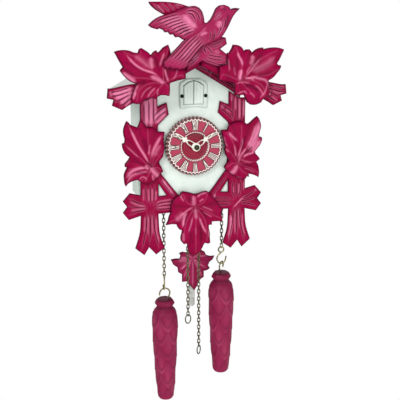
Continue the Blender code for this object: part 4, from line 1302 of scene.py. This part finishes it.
WAVES = 46
INNER_WAVES = 36
HOLE_RADIUS = 2.8
RIM_RADIUS = 26.6
RING_RADIUS = 24.4
INNER_RING_RADIUS = 13.0
DIAL_BACK = -68.3
FIELD = -74.3
NUMERALS = ("XII", "I", "II", "III", "IIII", "V", "VI", "VII", "VIII", "IX", "X", "XI")
OFF_WHITE = (0.92, 0.85, 0.80)
FIELD_RED = (0.38, 0.022, 0.068)
CENTRE_RED = (0.35, 0.010, 0.043)
GROOVE_SHADE_RED = (0.13, 0.004, 0.014)
RING_SHADOW = (0.08, 0.012, 0.02)
PANEL_BROWN = (0.075, 0.028, 0.028)
RIM_BROWN_SHADOW = (0.12, 0.045, 0.045)
RIM_CREST_HIGHLIGHT = (0.58, 0.40, 0.37)


def blended(base, color, amount):
    """Rows of base moved towards color."""
    return base + (np.array(color) - base) * amount[:, None]


def dial_surface(radius, angle):
    """Depth and colour of the dial's face at each polar place."""
    wave = np.cos(WAVES * angle)
    past_ring = radius - RING_RADIUS - 0.45 * wave
    past_inner = radius - INNER_RING_RADIUS - 0.3 * np.cos(INNER_WAVES * angle)
    outer = np.clip(1.5 - np.abs(past_ring) / 0.5, 0, 1)
    inner = np.clip(1.5 - np.abs(past_inner) / 0.45, 0, 1)
    rings = np.maximum(outer, inner)
    beside = np.minimum(np.abs(past_ring), np.abs(past_inner))
    rim = np.clip(past_ring / 0.5, 0, 1)
    centre = np.clip((INNER_RING_RADIUS - radius) / 0.4, 0, 1)
    groove = 0.5 + 0.5 * np.cos(radius * math.tau / 2.1)
    depth = FIELD - 0.7 * rings + 0.9 * rim * (radius - RING_RADIUS) / 2
    depth = depth + centre * (1.2 + 0.5 * groove)
    color = np.tile(np.array(FIELD_RED), (len(radius), 1))
    color = blended(color, CENTRE_RED, centre)
    # Painted shade in the bottom of the centre's grooves.
    color = blended(color, GROOVE_SHADE_RED, 0.9 * centre * groove ** 2)
    brown_top = np.clip(np.cos(angle - math.radians(25)), 0, 1) * np.clip((radius - 5) / 6, 0, 1)
    color = blended(color, PANEL_BROWN, 0.45 * centre * brown_top)
    # The rim's brown is partly its own colour and partly painted shadow; its scallop crests get
    # painted highlight.
    color = blended(color, RIM_BROWN_SHADOW, rim)
    color = blended(color, RIM_CREST_HIGHLIGHT, rim * np.clip(wave, 0, 1) * 0.75)
    color = blended(color, RING_SHADOW, 0.8 * np.clip(1.6 - np.abs(beside - 1.0) / 0.25, 0, 1))
    color = blended(color, OFF_WHITE, np.clip(rings * 1.6 - 0.3, 0, 1))
    return depth, color


def build_dial():
    """Moulded dial: scalloped rim, waved rings, grooved centre and raised numerals."""
    steps = WAVES * 12
    radii = np.concatenate([np.arange(HOLE_RADIUS, 12.4, 0.3), np.arange(12.4, 14.2, 0.15),
                            np.arange(14.2, 23.2, 0.9), np.arange(23.2, RIM_RADIUS + 0.1, 0.15)])
    angles = np.arange(steps) * math.tau / steps
    r, a = np.meshgrid(radii, angles, indexing="ij")
    r, a = r.ravel(), a.ravel()
    depth, color = dial_surface(r, a)
    stretch = np.clip((r - 25.0) / (RIM_RADIUS - 25.0), 0, 1)
    wide = r + 0.55 * np.cos(WAVES * a) * stretch
    front = np.column_stack([wide * np.sin(a), depth, wide * np.cos(a)])
    rings = len(radii)
    last = (rings - 1) * steps
    rear = front[[*range(steps), *range(last, last + steps)]].copy()
    rear[:, 1] = DIAL_BACK
    faces = ring_faces(rings, steps)
    inner, outer = rings * steps, (rings + 1) * steps
    for i in range(steps):
        j = (i + 1) % steps
        faces += [(i, inner + i, inner + j, j), (last + j, outer + j, outer + i, last + i),
                  (inner + i, outer + i, outer + j, inner + j)]
    dial = mesh_object("dial", np.vstack([front, rear]), faces, smooth=True)
    # The dial's back and sides take the rim's brown, partly painted shadow.
    paint(dial, "tint", np.vstack([color, np.tile(RIM_BROWN_SHADOW, (len(rear), 1))]))
    set_material(dial, printed("dial_paint", 0.42))
    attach(dial, "case")
    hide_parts("dial_plate", "dial_ring")

    panels, strokes = [], []
    for hour, text in enumerate(NUMERALS):
        angle = math.radians(30 * hour)
        quads, width = numeral(text)
        # Each numeral's dark backing panel is partly the dial's print and partly painted shade
        # beside the raised strokes.
        half = width / 2 + 0.55
        backing = [(-half, 14.9), (half, 14.9), (half, 23.8), (-half, 23.8)]
        panels.append(bar([dial_place(u, q, angle) for u, q in backing], -74.1, -74.55))
        strokes += [bar([dial_place(u, q, angle) for u, q in quad], -74.3, -75.15)
                    for quad in quads]
    brown = plastic("dial_panels", PANEL_BROWN, (0.13, 0.03, 0.04), 0.5)
    piece("dial_numeral_panels", "case", brown, panels, smooth=False)
    pale = plastic("dial_numerals", OFF_WHITE, (0.66, 0.52, 0.5), 0.42)
    piece("dial_numeral_strokes", "case", pale, strokes, smooth=False)


def dial_place(across, out, angle):
    """(x, z) of a point beside and out along a dial radius, drawn narrower near the centre."""
    across *= 0.70 + 0.30 * (out - 15) / 8.5
    return (out * math.sin(angle) + across * math.cos(angle),
            out * math.cos(angle) - across * math.sin(angle))


def numeral(text):
    """Strokes of a Roman numeral as (across, out) quads, and its width."""
    advance = {"I": 1.55, "V": 3.0, "X": 3.0}
    width = sum(advance[letter] for letter in text)
    squeeze = min(1.0, 6.4 / width)
    low, high = 15.3, 23.5
    quads = []
    start = -width / 2
    for letter in text:
        mid = start + advance[letter] / 2
        start += advance[letter]
        if letter == "I":
            lines = [(mid, mid, 0.3)]
        elif letter == "V":
            lines = [(mid, mid - 1.05, 0.36), (mid, mid + 1.05, 0.25)]
        else:
            lines = [(mid + 0.95, mid - 0.95, 0.36), (mid - 0.95, mid + 0.95, 0.25)]
        for foot, head, half in lines:
            quads.append([(foot - half, low), (foot + half, low), (head + half, high),
                          (head - half, high)])
            quads.append([(head - 0.68, high - 0.35), (head + 0.68, high - 0.35),
                          (head + 0.68, high + 0.1), (head - 0.68, high + 0.1)])
            if letter != "V":
                quads.append([(foot - 0.68, low - 0.1), (foot + 0.68, low - 0.1),
                              (foot + 0.68, low + 0.35), (foot - 0.68, low + 0.35)])
    return [[(u * squeeze, q) for u, q in quad] for quad in quads], width * squeeze


def hand_loops(length, boss, clock_degrees):
    """Pierced hand: round boss, triangle hole, collar, slotted leaf and point."""
    right = [(boss * 0.80, boss * 0.62), (boss * 0.66, boss * 1.02), (2.2, length * 0.36),
             (1.5, length * 0.44), (1.2, length * 0.47), (2.7, length * 0.52),
             (2.6, length * 0.55), (1.1, length * 0.60), (1.45, length * 0.66),
             (1.3, length * 0.76), (0.8, length * 0.9), (0.0, length)]
    base = [(boss * math.cos(t), boss * math.sin(t))
            for t in (math.radians(d) for d in range(145, 396, 10))]
    outer = base + right + [(-x, z) for x, z in reversed(right[:-1])]
    window = [(-1.65, boss + 0.5), (1.65, boss + 0.5), (1.45, length * 0.34),
              (0.0, length * 0.43), (-1.45, length * 0.34)]
    slit = [(-0.55, length * 0.65), (0.55, length * 0.65), (0.45, length * 0.78),
            (0.0, length * 0.87), (-0.45, length * 0.78)]
    turn = math.radians(clock_degrees)
    return [np.array([(x * math.cos(turn) + z * math.sin(turn),
                       -x * math.sin(turn) + z * math.cos(turn)) for x, z in loop])
            for loop in (outer, window, slit)]


def build_hands():
    """Pierced ivory hands, the pipe and arbor they ride on, and the nut."""
    ivory = plastic("hand_ivory", (0.86, 0.86, 0.76), (0.55, 0.52, 0.42), 0.35)
    brass = metal("hand_brass", (0.42, 0.31, 0.13), (0.18, 0.13, 0.06), 0.4)
    style = {"spacing": 0.4, "edge": 0.5, "depth": 1.0, "rounding": 0.35, "outline": 0.4}
    for name, body, length, boss, angle, span in (
            ("hour_hand", "hour", 21.8, 3.4, 55.4, (-76.0, -77.2)),
            ("minute_hand", "minute", 24.4, 3.8, 305.0, (-78.2, -79.4))):
        carved(f"{name}_pierced", name, hand_loops(length, boss, angle), span, body, ivory,
               **style)
    pipe = turned_ring([(1.32, -77.4), (2.18, -77.4), (2.18, -56.8), (1.32, -56.8)])
    piece("hour_pipe", "hour", brass, [pipe])
    arbor = lathe([(0.97, -81.4), (0.97, -56.2)], (0, 0, 0), "Y", 24)
    piece("minute_arbor", "minute", brass, [arbor])
    dark = metal("nut_olive", (0.05, 0.06, 0.02), (0.012, 0.016, 0.008), 0.3)
    nut = turned_ring([(1.05, -79.75), (2.35, -79.75), (2.4, -80.6), (2.2, -81.4), (1.6, -82.1),
                       (0.9, -82.45), (0.15, -82.55), (0.15, -82.0), (1.05, -81.7)])
    piece("hand_nut_dome", "minute", dark, [nut], "hand_nut")


# Movement -------------------------------------------------------------------

KNOB_PLACE = (-14.0, 0.0, -14.0)


def build_movement():
    """Finishes for the works, and the knurled setting knob."""
    black = plastic("movement_plastic", (0.018, 0.018, 0.02), (0.08, 0.08, 0.085), 0.5)
    steel = metal("bright_steel", (0.50, 0.50, 0.48), (0.28, 0.27, 0.25), 0.32)
    dress(black, "movement_case", "battery_tray", "battery_door", "chime_switch")
    soften(0.6, "movement_case", "battery_tray", "battery_door")
    soften(0.25, "chime_switch")
    dress(steel, "hanger_plate", "cuckoo_rail", "cuckoo_motor")
    soften(0.2, "hanger_plate", "cuckoo_rail", "cuckoo_motor")
    dress(plastic("speaker_cone", (0.02, 0.02, 0.02), (0.07, 0.07, 0.07), 0.7, 5.0), "speaker")
    soften(0.5, "speaker")
    dress(cell_jacket(), "cell_lower", "cell_upper")
    soften(0.5, "cell_lower", "cell_upper")
    ivory = plastic("carriage_ivory", (0.72, 0.70, 0.6), (0.5, 0.48, 0.4), 0.45)
    dress(ivory, "cuckoo_carriage")
    soften(0.3, "cuckoo_carriage")

    profile = rounded_profile([(1.4, -45.9), (1.4, -42.0), (5.4, -41.9), (5.95, -41.3),
                               (5.95, -37.2), (5.4, -36.6), (3.6, -36.6), (3.2, -37.4)], 0.7)
    knurl = lathe(profile, KNOB_PLACE, "Y", 144,
                  lambda a, r: r - 0.35 * (r > 5) * (0.5 + 0.5 * math.cos(24 * a)))
    piece("setting_knob_knurled", "knob", black, [knurl], "setting_knob")


# Cuckoo ---------------------------------------------------------------------

CUCKOO_RINGS = [(-58.4, 1.3, 51.1, 1.3), (-57.8, 2.3, 51.1, 2.2), (-56.5, 3.2, 51.0, 3.0),
                (-55.0, 3.4, 50.6, 3.3), (-53.5, 3.4, 49.9, 3.5), (-52.0, 3.7, 48.7, 4.3),
                (-50.0, 4.1, 46.9, 5.0), (-48.0, 4.1, 45.6, 4.5), (-46.0, 4.0, 44.9, 3.8),
                (-43.5, 3.3, 44.4, 2.9), (-41.0, 2.6, 44.0, 2.1), (-39.0, 2.2, 43.8, 1.3),
                (-37.1, 1.6, 43.6, 0.7)]


def build_cuckoo():
    """Small painted bird with beak, eyes and wings."""
    paint_red = plastic("cuckoo_red", (0.42, 0.03, 0.07), (0.25, 0.015, 0.04), 0.4, 1.5)
    sides = 28
    points = [(w * math.cos(t), y, z + h * math.sin(t)) for y, w, z, h in CUCKOO_RINGS
              for t in (math.tau * k / sides for k in range(sides))]
    body = points, capped_rings(len(CUCKOO_RINGS), sides)
    piece("cuckoo_bird_body", "cuckoo", paint_red, [body], "cuckoo_bird")
    wings = []
    for sign in (-1, 1):
        outline = [(-52.5, 48.8), (-50.5, 49.6), (-47.5, 48.4), (-43.5, 46.2), (-39.5, 44.6),
                   (-42.0, 44.2), (-46.0, 44.0), (-49.5, 44.8), (-52.0, 46.6)]
        inner = [(sign * 2.6, y, z) for y, z in outline]
        outer = [(sign * (4.15 - 0.12 * abs(y + 48)), y, z) for y, z in outline]
        wings.append(prism(inner, outer))
    dark_red = plastic("cuckoo_wing", (0.2, 0.012, 0.03), (0.35, 0.03, 0.06), 0.45, 1.5)
    piece("cuckoo_wings", "cuckoo", dark_red, wings, smooth=False)
    beak_profile = [(0.08, -60.6), (0.45, -60.0), (0.9, -59.0), (1.35, -58.0)]
    beak = lathe(beak_profile, (0, 0, 51.0), "Y", 20)
    yellow = plastic("cuckoo_beak", (0.75, 0.42, 0.03), (0.5, 0.25, 0.02), 0.35)
    piece("cuckoo_beak", "cuckoo", yellow, [beak])
    black = plastic("cuckoo_eye", (0.01, 0.01, 0.01), (0.05, 0.05, 0.05), 0.15)
    eyes = [lathe([(0.1, 0.0), (0.45, 0.15), (0.55, 0.5), (0.5, 1.0)],
                  (sign * 2.5 - 0.5, -57.0, 52.2), "X", 16)
            for sign in (-1, 1)]
    piece("cuckoo_eyes", "cuckoo", black, eyes)


# Pendulum, chains and weights -----------------------------------------------

CHAIN_Y = -58.0
LINK_WIDE = 3.4
LINK_WIRE = 0.475
LINK_PITCH = 3.8
FIRST_LINK = -49.6
BAR_Z = -46.4
BAR_RING_RADIUS = 1.9
LEFT_WEIGHT_X, LEFT_PULL_X, RIGHT_PULL_X, RIGHT_WEIGHT_X = -26.6, -3.0, 8.0, 31.2
PULL_RING = (2.9, 4.5, 0.6)    # half width, half height, wire


def chain_link(x, z, pitch, face_on):
    """One stadium-shaped link hanging at (x, CHAIN_Y, z)."""
    bend = LINK_WIDE / 2 - LINK_WIRE
    straight = (pitch + 4 * LINK_WIRE) / 2 - LINK_WIRE - bend
    path = []
    for centre, first in ((straight, 0), (-straight, 180)):
        for step in range(9):
            angle = math.radians(first + 22.5 * step)
            side, up = bend * math.cos(angle), centre + bend * math.sin(angle)
            path.append((x + side, CHAIN_Y, z + up) if face_on else (x, CHAIN_Y + side, z + up))
    return tube(path, LINK_WIRE, 8, closed=True)


def chain(name, body, material, x, last):
    """Ring round the bar and the links below it, down to the last link's middle."""
    count = round((FIRST_LINK - last) / LINK_PITCH)
    pitch = (FIRST_LINK - last) / count
    ring = [(x, CHAIN_Y + BAR_RING_RADIUS * math.cos(t), BAR_Z + BAR_RING_RADIUS * math.sin(t))
            for t in (math.tau * k / 28 for k in range(28))]
    shapes = [tube(ring, 0.45, 8, closed=True)]
    for i in range(count + 1):
        shapes.append(chain_link(x, FIRST_LINK - i * pitch, pitch, i % 2 == 0))
    piece(f"{name}_links", body, material, shapes, name)


def oval_ring(x, z, half_wide, half_tall, wire, turn_degrees):
    """Oval wire ring standing on edge, turned about the vertical."""
    turn = math.radians(turn_degrees)
    path = []
    for k in range(48):
        t = math.tau * k / 48
        out = half_wide * math.cos(t)
        path.append((x + out * math.cos(turn), CHAIN_Y + out * math.sin(turn),
                     z + half_tall * math.sin(t)))
    return tube(path, wire, 12, closed=True)


def wire_in(points, wire, turn_degrees=0.0, about=0.0):
    """Bent wire through (x, z) points in an upright plane turned about x = about."""
    turn = math.radians(turn_degrees)
    path = [(about + (x - about) * math.cos(turn), CHAIN_Y + (x - about) * math.sin(turn), z)
            for x, z in spline(points, 0.4)]
    return tube(path, wire, 12)


def build_chains():
    """Link chains over the bar, with pull rings, hooks and weight eyes."""
    brass = metal("chain_brass", (0.22, 0.20, 0.11), (0.04, 0.045, 0.028), 0.38)
    bright = metal("hook_brass", (0.36, 0.31, 0.15), (0.07, 0.06, 0.025), 0.34)
    dress(brass, "chain_bar", "pendulum_pin")
    chain("chain_left_weight", "weight_l", brass, LEFT_WEIGHT_X, -125.4)
    chain("chain_left_pull", "pull_l", brass, LEFT_PULL_X, -170.1)
    chain("chain_right_pull", "pull_r", brass, RIGHT_PULL_X, -204.5)
    chain("chain_right_weight", "weight_r", brass, RIGHT_WEIGHT_X, -102.3)
    dark = metal("ring_steel", (0.20, 0.22, 0.17), (0.06, 0.07, 0.05), 0.35)
    left_ring = oval_ring(LEFT_PULL_X, -175.8, *PULL_RING, 10)
    piece("pull_ring_left_wire", "pull_l", dark, [left_ring], "pull_ring_left")
    right_ring = oval_ring(RIGHT_PULL_X, -210.2, *PULL_RING, 40)
    piece("pull_ring_right_wire", "pull_r", dark, [right_ring], "pull_ring_right")

    loop = [(LEFT_WEIGHT_X + 1.4 * math.cos(t), -128.4 + 1.4 * math.sin(t))
            for t in (math.radians(d) for d in range(-80, 260, 20))]
    stem = [(-26.6, -131.4), (-26.6, -136.0), (-26.6, -139.6), (-25.6, -141.9), (-23.6, -142.3),
            (-21.8, -141.0), (-21.5, -138.8)]
    left_hook = wire_in(loop[::-1] + stem, 0.68, 90, LEFT_WEIGHT_X)
    piece("hook_left_wire", "weight_l", bright, [left_hook], "hook_left")
    left_eye = wire_in([(-31.7, -147.4), (-31.2, -144.2), (-29.2, -141.6), (-26.2, -140.8),
                        (-23.2, -141.8), (-21.4, -144.6), (-21.9, -148.0), (-23.6, -151.6)], 0.72)
    piece("weight_left_eye_wire", "weight_l", bright, [left_eye], "weight_left_eye")

    ring = [(30.9 + 2.7 * math.cos(t), -106.3 + 2.7 * math.sin(t))
            for t in (math.radians(d) for d in range(-60, 265, 20))]
    tail = [(29.6, -110.6), (27.2, -113.4), (26.9, -116.8), (28.6, -119.6), (31.4, -120.8),
            (34.4, -119.4), (35.6, -116.4), (36.1, -113.6)]
    right_hook = wire_in(ring[::-1] + tail, 0.7)
    piece("hook_right_wire", "weight_r", bright, [right_hook], "hook_right")
    right_eye = wire_in([(35.4, -126.0), (36.3, -123.0), (34.6, -119.9), (31.2, -118.9),
                         (27.6, -120.6), (26.4, -124.2), (28.0, -127.4), (30.6, -130.4)], 0.7,
                        50, RIGHT_WEIGHT_X)
    piece("weight_right_eye_wire", "weight_r", bright, [right_eye], "weight_right_eye")


WEIGHT_HEIGHT = 107.0
WEIGHT_PROFILE = [(5.2, 0.0), (6.8, 0.9), (7.9, 2.6), (8.5, 6.0), (9.7, 16.5), (11.1, 37.0),
                  (12.4, 62.5), (13.0, 80.0), (12.8, 88.0), (12.0, 92.0), (10.4, 95.4),
                  (8.3, 97.8), (7.7, 99.0), (8.2, 100.2), (9.5, 101.8), (9.6, 103.0),
                  (8.6, 105.0), (7.4, 106.5), (6.6, 106.9)]
SCALE_PITCH = 15.2
SCALE_TOP = 96.0
SCALE_COLUMNS = 5


def scales(angle, height, turn):
    """How far each place of a weight lies above its lower scale edge, and across the scale."""
    down = (SCALE_TOP - height) / SCALE_PITCH
    above = np.full(len(angle), 9.0)
    across = np.zeros(len(angle))
    for row in range(-2, 7):
        place = (angle + turn) * SCALE_COLUMNS / math.tau + 0.5 * row
        u = place - np.round(place)
        gap = row + 1.3 - 1.0 * np.abs(2 * u) ** 2.2 - down
        hit = (above > 8) & (gap > 0)
        above = np.where(hit, gap, above)
        across = np.where(hit, u, across)
    return above, across


def build_weight(side, x, top, turn, material):
    """Cone-shaped weight with overlapping scales and an eight-sided lip."""
    profile = rounded_profile(WEIGHT_PROFILE, 0.8)
    steps = 132
    radius = np.repeat([p[0] for p in profile], steps)
    height = np.repeat([p[1] for p in profile], steps)
    angle = np.tile(np.arange(steps) * math.tau / steps, len(profile))
    above, across = scales(angle, height, turn)
    inside_scales = np.clip((height - 4) / 5, 0, 1) * np.clip((94 - height) / 3, 0, 1)
    sink = np.clip(above / 1.5, 0, 1) ** 0.8
    swell = 0.35 * (1 - (2 * across) ** 2) * (1 - sink)
    radius = radius - inside_scales * (0.75 * sink - swell + 0.2)
    lip = np.clip((height - 98.5) / 1.5, 0, 1)
    flat = np.cos(math.pi / 8) / np.cos((angle + turn) % (math.tau / 8) - math.pi / 8)
    radius = radius * (1 + lip * (1.02 * flat - 1) * 0.8)
    points = np.column_stack([x + radius * np.cos(angle), CHAIN_Y + radius * np.sin(angle),
                              top - WEIGHT_HEIGHT + height])
    obj = mesh_object(f"weight_{side}_cone", points, capped_rings(len(profile), steps), smooth=True)
    # Painted highlight just above each scale's lower edge and down its middle, uneven from place to
    # place.
    light = 0.45 * np.exp(-((above - 0.12) / 0.07) ** 2) * np.clip(np.abs(across) * 3.5, 0.2, 1)
    light += 0.22 * np.exp(-(across / 0.22) ** 2)
    light *= 0.6 + 0.4 * np.sin(2.0 * angle + 0.13 * height + 5.0 * turn)
    # Painted shade in the sunken part of each scale and just below its edge.
    shade = 0.35 * np.clip(sink - 0.6, 0, 1) * (above < 8)
    shade += 0.4 * np.exp(-((above - 0.34) / 0.12) ** 2)
    values = np.column_stack([light * inside_scales, np.clip(shade * inside_scales, 0, 0.8)])
    # Painted shade in the crease under the lip, on the top end, and over the upper part under the
    # collar.
    values[:, 1] += 0.75 * np.exp(-((height - 98.8) / 0.9) ** 2)
    values[:, 1] += 0.8 * np.exp(-((height - 107) / 1.2) ** 2)
    values[:, 1] += 0.35 * np.clip((height - 84) / 10, 0, 1)
    paint(obj, "carve", np.clip(values, 0, 1))
    set_material(obj, material)
    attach(obj, f"weight_{side[0]}")
    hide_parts(f"weight_{side}")


def build_weights():
    """Both weights, turned a little apart."""
    resin = cone_plastic()
    build_weight("left", LEFT_WEIGHT_X, -151.0, math.radians(18), resin)
    build_weight("right", RIGHT_WEIGHT_X, -129.5, math.radians(10), resin)


def build_pendulum():
    """Finish of the flat rod."""
    metal_grey = metal("pendulum_grey", (0.62, 0.64, 0.60), (0.48, 0.50, 0.46), 0.45)
    dress(metal_grey, "pendulum_rod")
    soften(0.2, "pendulum_rod")


make_camera()
make_stage()
build_case()
build_carvings()
build_dial()
build_hands()
build_movement()
build_cuckoo()
build_pendulum()
build_chains()
build_weights()
